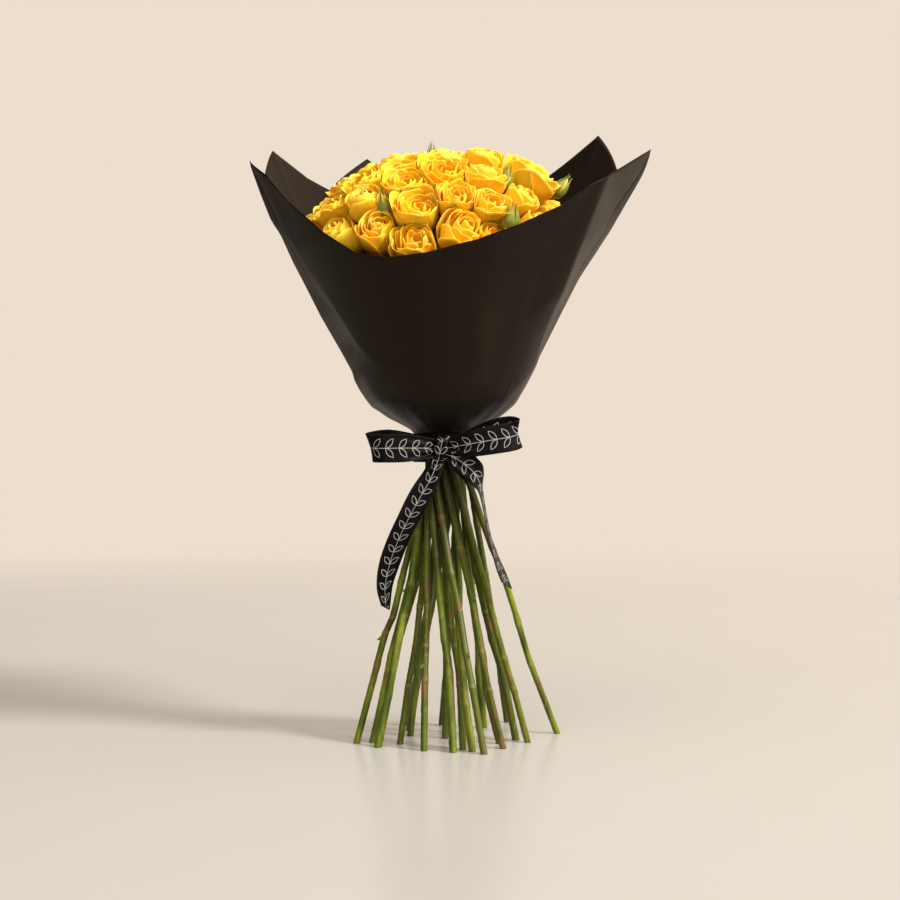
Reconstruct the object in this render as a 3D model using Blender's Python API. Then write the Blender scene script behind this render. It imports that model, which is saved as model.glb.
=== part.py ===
# Bunch of roses: cut spray roses tied in a spiral, in dark wrapping paper with a ribbon bow.
# Metres. Z is up, X to the right and Y away from the viewer. The bunch stands on its cut ends.

import math

import bpy
import numpy as np

# Heights and radii of the whole bunch
WAIST_Z = 0.235
STRAIGHT_TOP_Z = 0.300
CLEAR_TOP_Z = 0.330
HEAD_CENTRE = np.array((-0.005, 0.0, 0.385))
HEAD_SIZE = np.array((0.112, 0.108, 0.085))
HEAD_FOCUS = np.array((-0.005, 0.0, 0.340))
GAP = 0.0003

# Stems
STEM_RADII = (0.0030, 0.0029, 0.0028, 0.0030, 0.0031)
STEM_SIDES = 6
FACET_FIT = 1.05
STEM_GAP = 0.0004
SPIRAL_TURN = 77.0
RING_RADII = (0.0185, 0.0108, 0.0036)
NODE_HEIGHTS = (0.050, 0.108, 0.168)
NODE_SWELL = 0.24
NODE_KINK = 0.0016
KINK_TOP_Z = 0.168
THORN_HEIGHTS = (0.072, 0.118)
THORN_LENGTH = 0.0034
THORN_HALF = 0.0012
SHOOT_RADIUS = 0.0017
SHOOT_SIDES = 5
SHOOT_STEPS = 2
HIP_RADIUS = 0.0046
HIP_HEIGHT = 0.0085

# Flowers: fractions of the widest radius and of the height, ring by ring from the base
BLOOM_GAP = 0.0005
PETAL_COLUMNS = 3
PETAL_LAP = (-1.0, 0.0, -0.25)
LARGE_BLOOM = 0.0178
LARGE_PETALS = 5
SMALL_PETALS = 4
BLOOM_RINGS = (
    # radius, height, ruffle of the radius, ruffle of the height, turn in columns
    (0.26, 0.00, 0.00, 0.00, 0),
    (0.86, 0.48, 0.05, 0.00, 0),
    (1.00, 0.82, 0.11, 0.07, 0),
    (0.74, 0.77, 0.03, 0.00, 0),
    (0.64, 0.97, 0.16, 0.06, 1),
    (0.34, 0.85, 0.02, 0.00, 1),
)
BLOOM_SEED = 908
BLOOM_TIP = 1.00
FACE_AT = 0.82
PAIR_REACH = 0.84
LOWEST_FACE = 0.10

# Each spray: ring of the bundle, foot on the floor, and its flowers as bearing, tilt and width in mm
# Three flowers at the right of the top stand higher than the dome: spray, flower, lift
OUTER, MIDDLE, INNER = 0, 1, 2
LIFTED = {(16, 0): 0.009, (15, 1): 0.006, (21, 0): 0.004}
SPRAYS = (
    (OUTER, (0.0670, -0.0220), ((-27, 76, 33), (-41, 61, 30))),
    (OUTER, (0.0926, 0.0190), ((-10, 81, 33), (-14, 66, 38))),
    (OUTER, (0.0520, 0.0786), ((8, 78, 38), (9, 60, 28))),
    (OUTER, (-0.0049, 0.0660), ((24, 80, 31), (26, 63, 31))),
    (OUTER, (-0.0300, 0.0560), ((45, 72, 34), (40, 56, 29))),
    (OUTER, (-0.0558, 0.0266), ((67, 76, 34), (84, 62, 34))),
    (OUTER, (0.0440, -0.0520), ((-47, 75, 32), (-60, 60, 31))),
    (OUTER, (0.0316, -0.0734), ((-70, 76, 34), (-92, 73, 36), (-106, 56, 32))),
    (OUTER, (-0.0691, -0.0290), ((92, 78, 37), (114, 76, 38))),
    (OUTER, (-0.0461, -0.0450), ((136, 76, 38), (158, 76, 38))),
    (OUTER, (-0.0148, -0.0630), ((180, 76, 38), (202, 76, 38))),
    (OUTER, (0.0070, -0.0700), ((224, 74, 37), (246, 74, 36))),
    (MIDDLE, (0.0440, -0.0310), ((-44, 44, 34), (-74, 46, 33))),
    (MIDDLE, (0.0574, -0.0170), ((-26, 40, 32), (-11, 50, 32))),
    (MIDDLE, (0.0300, 0.0500), ((1, 39, 38), (8, 21, 31))),
    (MIDDLE, (-0.0345, 0.0289), ((26, 45, 36), (46, 28, 33))),
    (MIDDLE, (-0.0606, -0.0320), ((70, 44, 44),)),
    (MIDDLE, (-0.0376, -0.0320), ((106, 52, 40), (132, 50, 40))),
    (MIDDLE, (0.0150, -0.0605), ((159, 52, 40), (186, 51, 40))),
    (MIDDLE, (0.0235, -0.0700), ((214, 52, 40), (241, 52, 38))),
    (INNER, (0.0200, 0.0200), ((-50, 20, 36), (-98, 34, 34))),
    (INNER, (-0.0250, 0.0040), ((95, 20, 36), (135, 27, 38))),
    (INNER, (0.0, 0.0), ((190, 27, 37), (240, 28, 35), (20, 5, 37))),
)
ORIGIN_SPRAY = 22

# Buds: spray that carries it, bearing, tilt and width in mm
BUDS = (
    (14, -12, 12, 9), (3, 33, 75, 13), (15, 52, 44, 9), (5, 82, 58, 10), (1, -26, 66, 8),
    (9, 148, 64, 11), (19, 228, 38, 10),
)
BUD_LENGTH = 0.021

# Wrapping paper: radius at each height, and how far it leaves a circle at each bearing
PAPER_THICK = 0.0007
PAPER_PROFILE = (
    (0.2300, 0.0247), (0.2475, 0.0249), (0.2505, 0.0285), (0.2570, 0.0410), (0.2635, 0.0496),
    (0.2710, 0.0590), (0.2830, 0.0676), (0.3000, 0.0765), (0.3420, 0.0985), (0.5200, 0.1989),
)
PAPER_PLAN = (
    (-180, 0.995), (-150, 0.985), (-120, 0.965), (-90, 0.990), (-75, 0.975), (-63, 1.010),
    (-45, 0.990), (0, 1.000), (40, 0.990), (56, 1.015), (68, 0.995), (80, 0.985),
    (90, 0.985), (118, 0.970), (132, 0.945), (150, 0.980), (180, 0.995),
)
PLAN_FULL_Z = 0.290
PAPER_LEAN = ((0.2520, 0.0), (0.3420, -0.0038), (0.5200, 0.0024))
PAPER_ROWS = (0.2360, 0.2475, 0.2520, 0.2610, 0.2720, 0.3000, 0.3420)
SHEET_STEP = 0.0014
FRONT_EDGE = (
    (-104, 0.355), (-96, 0.375), (-86, 0.410), (-75, 0.4606), (-63, 0.445), (-55, 0.421),
    (-44, 0.398), (-32, 0.381), (-19, 0.377), (-5, 0.380), (12, 0.389), (26, 0.401),
    (40, 0.417), (48, 0.433), (56, 0.444), (68, 0.458), (80, 0.4720), (88, 0.425),
    (97, 0.380), (105, 0.355),
)
BACK_EDGE = (
    (80, 0.360), (88, 0.385), (97, 0.422), (105, 0.447), (118, 0.473), (132, 0.5090),
    (141, 0.489), (150, 0.470), (165, 0.452), (180, 0.446), (192, 0.446), (204, 0.450),
    (216, 0.458), (228, 0.470), (240, 0.4900), (250, 0.465), (256, 0.447), (264, 0.415),
    (274, 0.378), (280, 0.360),
)
INNER_EDGE = (
    (150, 0.400), (165, 0.430), (180, 0.448), (192, 0.470), (204, 0.4950), (216, 0.470),
    (228, 0.440), (240, 0.400),
)

# Binding and ribbon
BINDING_RADIUS = (0.0221, 0.0245)
BINDING_LOW_Z = 0.2245
BINDING_COIL = 0.0036
BINDING_COILS = 3
BAND_RADIUS = 0.0253
RIBBON_THICK = 0.0008
RIBBON_WIDTH = 0.0225
RING_SIDES = 24
BINDING_SIDES = 16
KNOT_CENTRE = (-0.0035, -0.0318, 0.2335)
KNOT_SIZE = (0.0088, 0.0064, 0.0118)
STRIP_STEPS = 2

# Ribbon strips: point on the centre line, width, and the direction the width runs in
LEFT_LOOP = (
    ((-0.0050, -0.0330, 0.2345), 0.011, (0.00, 0.00, 1.0)),
    ((-0.0150, -0.0395, 0.2350), 0.017, (0.00, 0.05, 1.0)),
    ((-0.0310, -0.0450, 0.2350), 0.0220, (0.00, 0.10, 1.0)),
    ((-0.0480, -0.0455, 0.2348), 0.0225, (0.02, 0.12, 1.0)),
    ((-0.0580, -0.0395, 0.2352), 0.0225, (0.06, 0.05, 1.0)),
    ((-0.0565, -0.0330, 0.2370), 0.0225, (0.08, 0.00, 1.0)),
    ((-0.0440, -0.0305, 0.2385), 0.0225, (0.05, 0.00, 1.0)),
    ((-0.0280, -0.0305, 0.2380), 0.018, (0.00, 0.00, 1.0)),
    ((-0.0150, -0.0300, 0.2362), 0.014, (0.00, 0.00, 1.0)),
    ((-0.0050, -0.0300, 0.2345), 0.011, (0.00, 0.00, 1.0)),
)
RIGHT_LOOP = (
    ((0.0000, -0.0335, 0.2345), 0.011, (0.00, 0.00, 1.0)),
    ((0.0095, -0.0395, 0.2363), 0.016, (-0.10, 0.03, 1.0)),
    ((0.0240, -0.0450, 0.2390), 0.021, (-0.16, 0.08, 1.0)),
    ((0.0400, -0.0470, 0.2418), 0.0225, (-0.18, 0.10, 1.0)),
    ((0.0525, -0.0440, 0.2440), 0.0225, (-0.18, 0.06, 1.0)),
    ((0.0575, -0.0390, 0.2468), 0.0225, (-0.16, 0.00, 1.0)),
    ((0.0510, -0.0350, 0.2490), 0.0225, (-0.20, -0.05, 1.0)),
    ((0.0370, -0.0345, 0.2468), 0.021, (-0.20, -0.05, 1.0)),
    ((0.0200, -0.0325, 0.2415), 0.016, (-0.12, 0.00, 1.0)),
    ((0.0040, -0.0300, 0.2360), 0.011, (0.00, 0.00, 1.0)),
)
LEFT_TAIL = (
    ((-0.0040, -0.0330, 0.2290), 0.010, (1.00, 0.10, 0.0)),
    ((-0.0070, -0.0365, 0.2215), 0.012, (0.95, 0.15, -0.25)),
    ((-0.0115, -0.0390, 0.2110), 0.015, (0.90, 0.25, -0.30)),
    ((-0.0195, -0.0395, 0.1970), 0.020, (0.80, 0.50, -0.28)),
    ((-0.0285, -0.0375, 0.1800), 0.0225, (0.68, 0.66, -0.25)),
    ((-0.0375, -0.0325, 0.1610), 0.0225, (0.66, 0.68, -0.24)),
    ((-0.0440, -0.0275, 0.1430), 0.0225, (0.66, 0.70, -0.15)),
    ((-0.0478, -0.0235, 0.1250), 0.0225, (0.52, 0.84, -0.02)),
    ((-0.0475, -0.0210, 0.1075), 0.0220, (0.25, 0.96, 0.05)),
)
RIGHT_TAIL = (
    ((-0.0010, -0.0335, 0.2300), 0.010, (0.30, 0.00, 1.0)),
    ((0.0055, -0.0380, 0.2285), 0.014, (0.45, 0.00, 0.9)),
    ((0.0135, -0.0400, 0.2238), 0.019, (0.50, 0.00, 0.85)),
    ((0.0205, -0.0400, 0.2180), 0.020, (0.62, 0.10, 0.78)),
    ((0.0255, -0.0392, 0.2110), 0.021, (0.50, 0.75, 0.42)),
    ((0.0282, -0.0378, 0.2025), 0.022, (0.18, 0.98, 0.10)),
    ((0.0315, -0.0360, 0.1850), 0.0225, (0.10, 1.00, 0.03)),
    ((0.0350, -0.0352, 0.1670), 0.0225, (0.10, 1.00, 0.02)),
    ((0.0390, -0.0355, 0.1520), 0.0225, (0.14, 1.00, 0.05)),
    ((0.0440, -0.0365, 0.1390), 0.0225, (0.24, 0.97, 0.10)),
    ((0.0490, -0.0372, 0.1265), 0.0220, (0.24, 0.97, 0.10)),
)


# Small geometry helpers

def unit(v):
    v = np.asarray(v, float)
    return v / np.linalg.norm(v)


def read_table(table, at):
    """Value of a two-column table at a key, by straight lines between its rows."""
    return float(np.interp(at, [row[0] for row in table], [row[1] for row in table]))


def around(bearing, radius, z):
    """Point at a bearing from the front, counted towards +X."""
    a = math.radians(bearing)
    return np.array((radius * math.sin(a), -radius * math.cos(a), z))


def ring_faces(start, next_start, sides):
    """Quads between two rings of a tube."""
    faces = []
    for k in range(sides):
        n = (k + 1) % sides
        faces.append((start + k, start + n, next_start + n, next_start + k))
    return faces


def rings_to_solid(rings, first_tip=None, last_tip=None):
    """Closed skin over equal rings; each end is a flat cap or closes on a tip."""
    sides = len(rings[0])
    verts = [tuple(p) for ring in rings for p in ring]
    faces = []
    for r in range(len(rings) - 1):
        faces += ring_faces(r * sides, (r + 1) * sides, sides)
    last = (len(rings) - 1) * sides
    if first_tip is None:
        faces.append(tuple(reversed(range(sides))))
    else:
        verts.append(tuple(first_tip))
        tip = len(verts) - 1
        faces += [(tip, (k + 1) % sides, k) for k in range(sides)]
    if last_tip is None:
        faces.append(tuple(last + k for k in range(sides)))
    else:
        verts.append(tuple(last_tip))
        tip = len(verts) - 1
        faces += [(last + k, last + (k + 1) % sides, tip) for k in range(sides)]
    return verts, faces


def tube(path, radii, sides, tip=None):
    """Round tube along a path; its rings lie square to the path."""
    path = [np.asarray(p, float) for p in path]
    rings = []
    side = np.array((1.0, 0.0, 0.0))
    for k, p in enumerate(path):
        along = unit(path[min(k + 1, len(path) - 1)] - path[max(k - 1, 0)])
        side = unit(side - along * side.dot(along))
        across = np.cross(along, side)
        ring = []
        for s in range(sides):
            a = 2 * math.pi * s / sides
            ring.append(p + radii[k] * (math.cos(a) * side + math.sin(a) * across))
        rings.append(ring)
    return rings_to_solid(rings, last_tip=tip)


def curve(start, start_dir, end, end_dir, steps):
    """Smooth curve that leaves and arrives along the two directions."""
    reach = np.linalg.norm(end - start) * 0.38
    a = start + unit(start_dir) * reach
    b = end - unit(end_dir) * reach
    points = []
    for k in range(steps + 1):
        t = k / steps
        s = 1 - t
        points.append(s ** 3 * start + 3 * s * s * t * a + 3 * s * t * t * b + t ** 3 * end)
    return points


def make_object(name, solid, material=None):
    verts, faces = solid
    mesh = bpy.data.meshes.new(name)
    mesh.from_pydata([tuple(map(float, v)) for v in verts], [], faces)
    mesh.validate()
    mesh.update()
    obj = bpy.data.objects.new(name, mesh)
    bpy.context.scene.collection.objects.link(obj)
    if material is not None:
        mesh.materials.append(material)
    return obj


def fuse(name, solids, material):
    """One closed body from solids that run into each other."""
    body = make_object(name, solids[0], material)
    if len(solids) == 1:
        return body
    others = bpy.data.collections.new(name + "_parts")
    bpy.context.scene.collection.children.link(others)
    for k, solid in enumerate(solids[1:]):
        part = make_object(name + "_part%d" % k, solid, material)
        bpy.context.scene.collection.objects.unlink(part)
        others.objects.link(part)
    join = body.modifiers.new("join", "BOOLEAN")
    join.operation = "UNION"
    join.operand_type = "COLLECTION"
    join.collection = others
    join.solver = "MANIFOLD"
    depsgraph = bpy.context.evaluated_depsgraph_get()
    fused = bpy.data.meshes.new_from_object(body.evaluated_get(depsgraph))
    body.modifiers.clear()
    body.data = fused
    for part in list(others.objects):
        bpy.data.objects.remove(part)
    bpy.data.collections.remove(others)
    return body


def plain_material(name, colour, rough):
    material = bpy.data.materials.new(name)
    material.use_nodes = True
    shader = material.node_tree.nodes["Principled BSDF"]
    shader.inputs["Base Color"].default_value = (*colour, 1.0)
    shader.inputs["Roughness"].default_value = rough
    material.diffuse_color = (*colour, 1.0)
    return material


# Places of the flowers over the head

def face_point(bearing, tilt):
    a, t = math.radians(bearing), math.radians(tilt)
    return np.array((math.sin(t) * math.sin(a), -math.sin(t) * math.cos(a), math.cos(t))) * HEAD_SIZE


def settle_faces(rounds=260):
    """Moves flowers and buds over the dome until no two sprays meet; one spray stays together."""
    spray, radius, home = [], [], []
    for s, (_, _, blooms) in enumerate(SPRAYS):
        for bearing, tilt, width in blooms:
            spray.append(s)
            radius.append(width / 2000.0)
            home.append(face_point(bearing, tilt))
    for k, (_, bearing, tilt, width) in enumerate(BUDS):
        spray.append(len(SPRAYS) + k)
        radius.append(width / 2000.0)
        home.append(face_point(bearing, tilt))
    spray, radius, home = np.array(spray), np.array(radius), np.array(home)
    same = spray[:, None] == spray[None, :]
    both = radius[:, None] + radius[None, :]
    goal = np.where(same, PAIR_REACH * both, both + BLOOM_GAP)
    share = radius[None, :] / both
    place = home.copy()
    for _ in range(rounds):
        apart = place[None, :, :] - place[:, None, :]
        far = np.linalg.norm(apart, axis=2) + np.eye(len(spray))
        slack = far - goal
        pull = np.where(same, 0.30 * slack, 0.35 * np.minimum(slack, 0.0))
        np.fill_diagonal(pull, 0.0)
        push = (apart / far[:, :, None] * (pull * share)[:, :, None]).sum(axis=1)
        loose = (place + push + 0.012 * (home - place)) / HEAD_SIZE
        loose[:, 2] = np.maximum(loose[:, 2], LOWEST_FACE)
        place = loose / np.linalg.norm(loose, axis=1)[:, None] * HEAD_SIZE
    far = np.linalg.norm(place[None] - place[:, None], axis=2)
    far[same] = 1.0
    for _ in range(40):
        room = (far - radius[None, :] - BLOOM_GAP).min(axis=1)
        radius = np.minimum(radius, np.maximum(room, radius * 0.985))
    place = place + HEAD_CENTRE
    for (s, k), lift in LIFTED.items():
        index = sum(len(blooms) for _, _, blooms in SPRAYS[:s]) + k
        place[index] += unit(place[index] - HEAD_FOCUS) * lift
    return place, radius


# Places of the stems in the bundle

def waist_start():
    """First guess of where each stem passes the waist: three rings, turned from the feet."""
    feet = np.array([foot for _, foot, _ in SPRAYS])
    bearing = np.degrees(np.arctan2(feet[:, 0], -feet[:, 1]))
    waist = np.zeros_like(feet)
    for ring, radius in enumerate(RING_RADII):
        members = [s for s, spray in enumerate(SPRAYS) if spray[0] == ring]
        members.sort(key=lambda s: bearing[s])
        step = 360.0 / len(members)
        first = np.mean([bearing[s] - SPIRAL_TURN - step * k for k, s in enumerate(members)])
        for k, s in enumerate(members):
            even = first + step * k
            turned = 0.5 * even + 0.5 * (bearing[s] - SPIRAL_TURN)
            waist[s] = around(turned, radius, 0.0)[:2]
    return feet, waist


def settle_stems(radii, rounds=900):
    """Shifts the straight stems until each clears its neighbours from the floor to the head."""
    feet, waist = waist_start()
    heights = np.linspace(0.0, CLEAR_TOP_Z, 34)
    count = len(feet)
    for turn in range(rounds):
        line = feet[:, None, :] + (waist - feet)[:, None, :] * (heights[None, :, None] / WAIST_Z)
        slant = np.sqrt(1 + ((waist - feet) ** 2).sum(axis=1) / WAIST_Z ** 2)
        apart = line[None] - line[:, None]
        far = np.sqrt((apart ** 2).sum(axis=-1)) + np.eye(count)[:, :, None]
        need = (radii[:, None] + radii[None, :] + STEM_GAP) * np.sqrt(slant[:, None] * slant[None, :])
        lack = np.maximum(need[:, :, None] - far, 0.0)
        lack[np.arange(count), np.arange(count)] = 0.0
        worst = lack.argmax(axis=2)
        rows, cols = np.indices((count, count))
        push = apart[rows, cols, worst] / far[rows, cols, worst][:, :, None]
        push = push * (0.45 * lack[rows, cols, worst])[:, :, None]
        level = heights[worst] / WAIST_Z
        waist = waist - (push * np.minimum(level, 1.2)[:, :, None]).sum(axis=1)
        feet = feet - (push * np.maximum(1 - level, 0.0)[:, :, None]).sum(axis=1)
        if turn < rounds - 60:
            waist = waist * (0.995 if turn < rounds / 2 else 0.998)
        feet = feet - feet[ORIGIN_SPRAY]
    return feet, waist


# One spray

def stem_path(seed, foot, waist, radius):
    """Centre line and radii of a stem, with its nodes and small kinks, up to the straight top."""
    draw = np.random.default_rng(520 + seed)
    path = [np.array((foot[0], foot[1], 0.0))]
    widths = [radius * 0.97]
    for z in NODE_HEIGHTS:
        node = z + draw.uniform(-0.014, 0.014)
        fade = min(1.0, max(0.0, (KINK_TOP_Z - node) / 0.06))
        kink = draw.uniform(-1, 1, 2) * NODE_KINK * fade
        for height, swell in ((node, 1.0 + NODE_SWELL * fade), (node + 0.007, 0.98)):
            xy = foot + (waist - foot) * height / WAIST_Z + kink
            path.append(np.array((xy[0], xy[1], height)))
            widths.append(radius * swell)
    xy = foot + (waist - foot) * STRAIGHT_TOP_Z / WAIST_Z
    path.append(np.array((xy[0], xy[1], STRAIGHT_TOP_Z)))
    widths.append(radius * 0.94)
    return path, widths


def level_tube(path, radii, sides, turn):
    """Tube whose rings lie level, so that the cut end rests flat on the floor."""
    rings = []
    for p, r in zip(path, radii):
        ring = []
        for k in range(sides):
            a = turn + 2 * math.pi * k / sides
            ring.append((p[0] + r * math.cos(a), p[1] + r * math.sin(a), p[2]))
        rings.append(ring)
    return rings


def thorn(path, radii, height, heading):
    """Short pointed thorn that grows out of the stem."""
    zs = [p[2] for p in path]
    centre = np.array([np.interp(height, zs, [p[k] for p in path]) for k in range(3)])
    stem = float(np.interp(height, zs, radii))
    out = np.array((math.cos(heading), math.sin(heading), 0.0))
    side = np.array((-out[1], out[0], 0.0))
    up = np.array((0.0, 0.0, 1.0))
    root = centre + out * (stem * 0.45)
    ring = [root + THORN_HALF * (-side), root - 1.8 * THORN_HALF * up,
            root + THORN_HALF * side, root + 1.8 * THORN_HALF * up]
    tip = centre + out * (stem + THORN_LENGTH) - up * 0.0008
    return rings_to_solid([ring], last_tip=tip)


def bloom_frame(face):
    """Axis of a flower and two directions across it."""
    axis = unit(face - HEAD_FOCUS)
    side = unit(np.cross((0.0, 0.0, 1.0), axis) + np.array((1e-6, 0.0, 0.0)))
    return axis, side, np.cross(axis, side)


def bloom_height(radius):
    return 0.0105 + 1.15 * radius


def bloom_base(face, radius):
    axis = bloom_frame(face)[0]
    return face - axis * bloom_height(radius) * FACE_AT


def petal_lap(column, turn):
    """Rounded lip of each petal, tucked in where the next petal laps over it."""
    return PETAL_LAP[int(column + turn) % PETAL_COLUMNS]


def bloom(face, radius, seed):
    """Flower of lapped petals: an outer whorl, a second whorl turned half a petal, and a bud."""
    axis, side, across = bloom_frame(face)
    base = bloom_base(face, radius)
    height = bloom_height(radius)
    columns = PETAL_COLUMNS * (LARGE_PETALS if radius > LARGE_BLOOM else SMALL_PETALS)
    draw = np.random.default_rng(BLOOM_SEED + seed)
    roll = draw.uniform(0, 2 * math.pi)
    ruffle = draw.uniform(-1, 1, (len(BLOOM_RINGS), columns))
    rings = []
    for k, (r, z, wave_r, wave_z, turn) in enumerate(BLOOM_RINGS):
        ring = []
        for c in range(columns):
            lap = petal_lap(c, turn)
            a = roll + 2 * math.pi * c / columns
            out = radius * r * (1 + wave_r * lap)
            up = height * (z + wave_z * (0.6 * lap + 0.3 * ruffle[k][c]))
            ring.append(base + axis * up + out * (math.cos(a) * side + math.sin(a) * across))
        rings.append(ring)
    return rings_to_solid(rings, first_tip=base, last_tip=base + axis * height * BLOOM_TIP)


def shoot(start, start_dir, face, radius):
    """Side shoot from the stem to a flower, ending in the green hip under it."""
    axis = bloom_frame(face)[0]
    seat = bloom_base(face, radius) - axis * GAP
    neck = seat - axis * HIP_HEIGHT
    path = curve(start, start_dir, neck, axis, SHOOT_STEPS)
    radii = [SHOOT_RADIUS] * len(path)
    path += [seat - axis * HIP_HEIGHT * 0.45, seat]
    radii += [HIP_RADIUS * 0.95, HIP_RADIUS]
    return tube(path, radii, SHOOT_SIDES)


def bud(start, start_dir, face, width):
    """Side shoot that ends in a closed, pointed bud."""
    axis = bloom_frame(face)[0]
    base = face - axis * BUD_LENGTH
    path = curve(start, start_dir, base, axis, SHOOT_STEPS)
    radii = [SHOOT_RADIUS * 0.9] * len(path)
    for along, wide in ((0.16, 0.62), (0.38, 1.0), (0.62, 0.80), (0.84, 0.36)):
        path.append(base + axis * BUD_LENGTH * along)
        radii.append(width / 2 * wide)
    return tube(path, radii, 6, tip=face)


def build_spray(s, foot, waist, faces, radii, bud_faces, green, yellow):
    stem_radius = STEM_RADII[s % len(STEM_RADII)] * FACET_FIT
    path, widths = stem_path(s, foot, waist, stem_radius)
    rise = unit(path[-1] - path[-2])
    bases = [bloom_base(f, r) for f, r in zip(faces, radii)]
    mean = np.mean(bases, axis=0)
    level = path[-1] + rise * 0.030
    fork = level + (mean - level) * 0.28
    path.append(fork)
    widths.append(stem_radius * 0.86)
    rings = level_tube(path, widths, STEM_SIDES, turn=0.4 * s)
    parts = [rings_to_solid(rings)]
    draw = np.random.default_rng(700 + s)
    away = math.atan2(path[1][1], path[1][0])
    for z in THORN_HEIGHTS:
        heading = away + draw.uniform(-0.8, 0.8)
        parts.append(thorn(path, widths, z + draw.uniform(-0.01, 0.01), heading))
    lean = unit(fork - path[-2])
    root = fork - lean * 0.004
    for face, radius in zip(faces, radii):
        parts.append(shoot(root, lean, face, radius))
    for face, width in bud_faces:
        parts.append(bud(root, lean, face, width))
    fuse("spray_%02d_stem" % (s + 1), parts, green)
    flowers = [bloom(f, r, 40 * s + k) for k, (f, r) in enumerate(zip(faces, radii))]
    fuse("spray_%02d_roses" % (s + 1), flowers, yellow)


# Wrapping paper

def paper_point(bearing, z, depth):
    """Point on the wrap, sunk below its outer face by a depth measured square to the paper."""
    wrap = (bearing + 180.0) % 360.0 - 180.0
    plan = read_table(PAPER_PLAN, wrap)
    blend = min(1.0, max(0.0, (z - 0.252) / (PLAN_FULL_Z - 0.252)))
    plan = 1.0 + (plan - 1.0) * blend
    radius = read_table(PAPER_PROFILE, z) * plan
    slope = (read_table(PAPER_PROFILE, z + 0.002) - read_table(PAPER_PROFILE, z - 0.002)) / 0.004
    size = math.hypot(1.0, slope)
    point = around(bearing, radius - depth / size, z + depth * slope / size)
    point[0] += read_table(PAPER_LEAN, z)
    return point


def paper_sheet(name, edge, depth, material):
    """One sheet: a curved skin of even thickness between the tie and its cut top edge."""
    outer, inner = [], []
    for b, top in edge:
        heights = PAPER_ROWS + (top,)
        outer.append([paper_point(b, z, depth) for z in heights])
        inner.append([paper_point(b, z, depth + PAPER_THICK) for z in heights])
    count, rows = len(edge), len(outer[0])
    verts = [tuple(p) for line in outer for p in line] + [tuple(p) for line in inner for p in line]
    back = count * rows
    faces = []
    for c in range(count - 1):
        for r in range(rows - 1):
            a, b = c * rows + r, (c + 1) * rows + r
            faces.append((a, b, b + 1, a + 1))
            faces.append((back + a, back + a + 1, back + b + 1, back + b))
        a, b = c * rows, (c + 1) * rows
        faces.append((a, back + a, back + b, b))
        faces.append((a + rows - 1, b + rows - 1, back + b + rows - 1, back + a + rows - 1))
    for r in range(rows - 1):
        a = r
        faces.append((a, a + 1, back + a + 1, back + a))
        b = (count - 1) * rows + r
        faces.append((b, back + b, back + b + 1, b + 1))
    return make_object(name, (verts, faces), material)


# Binding and ribbon

def closed_ring(profile, sides):
    """Solid ring that turns a closed profile of radius and height round the bunch."""
    count = len(profile)
    verts, faces = [], []
    for s in range(sides):
        for r, z in profile:
            verts.append(tuple(around(360.0 * s / sides, r, z)))
    for s in range(sides):
        n = (s + 1) % sides
        for k in range(count):
            m = (k + 1) % count
            faces.append((s * count + k, n * count + k, n * count + m, s * count + m))
    return verts, faces


def binding_profile():
    inner, outer = BINDING_RADIUS
    profile = [(inner, BINDING_LOW_Z)]
    for k in range(BINDING_COILS):
        z = BINDING_LOW_Z + k * BINDING_COIL
        profile.append((outer, z + 0.5 * BINDING_COIL))
        profile.append((outer - 0.0009 if k < BINDING_COILS - 1 else inner, z + BINDING_COIL))
    return profile


def smooth_rows(rows):
    """Rows of a strip with points added on a smooth curve through them."""
    data = np.array([list(p) + [w] + list(d) for p, w, d in rows])
    ends = np.vstack((2 * data[0] - data[1], data, 2 * data[-1] - data[-2]))
    out = []
    for k in range(1, len(ends) - 2):
        a, b, c, d = ends[k - 1], ends[k], ends[k + 1], ends[k + 2]
        for s in range(STRIP_STEPS):
            t = s / STRIP_STEPS
            out.append(0.5 * (2 * b + (c - a) * t + (2 * a - 5 * b + 4 * c - d) * t * t
                              + (3 * b - a - 3 * c + d) * t ** 3))
    out.append(ends[-2])
    return out


def ribbon_strip(rows):
    """Flat strip of ribbon along a curve, with its own width and lean at each point."""
    points = smooth_rows(rows)
    rings = []
    for k, row in enumerate(points):
        along = unit(points[min(k + 1, len(points) - 1)][:3] - points[max(k - 1, 0)][:3])
        wide = row[4:7] - along * row[4:7].dot(along)
        wide = unit(wide)
        face = np.cross(along, wide)
        w, t = row[3] / 2, RIBBON_THICK / 2
        centre = row[:3]
        rings.append([centre + w * wide + t * face, centre - w * wide + t * face,
                      centre - w * wide - t * face, centre + w * wide - t * face])
    return rings_to_solid(rings)


def knot():
    """Rounded knot in front of the band."""
    centre = np.array(KNOT_CENTRE)
    rings = []
    for tilt in (-60, -30, 0, 30, 60):
        t = math.radians(tilt)
        ring = []
        for k in range(8):
            a = 2 * math.pi * k / 8
            offset = (math.cos(t) * math.cos(a), math.cos(t) * math.sin(a), math.sin(t))
            ring.append(centre + np.array(offset) * KNOT_SIZE)
        rings.append(ring)
    drop = np.array((0.0, 0.0, KNOT_SIZE[2]))
    return rings_to_solid(rings, first_tip=centre - drop, last_tip=centre + drop)


def band_profile():
    low, high = WAIST_Z - RIBBON_WIDTH / 2, WAIST_Z + RIBBON_WIDTH / 2
    inner, outer = BAND_RADIUS, BAND_RADIUS + RIBBON_THICK
    return [(inner, low), (outer, low), (outer, high), (inner, high)]


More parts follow.
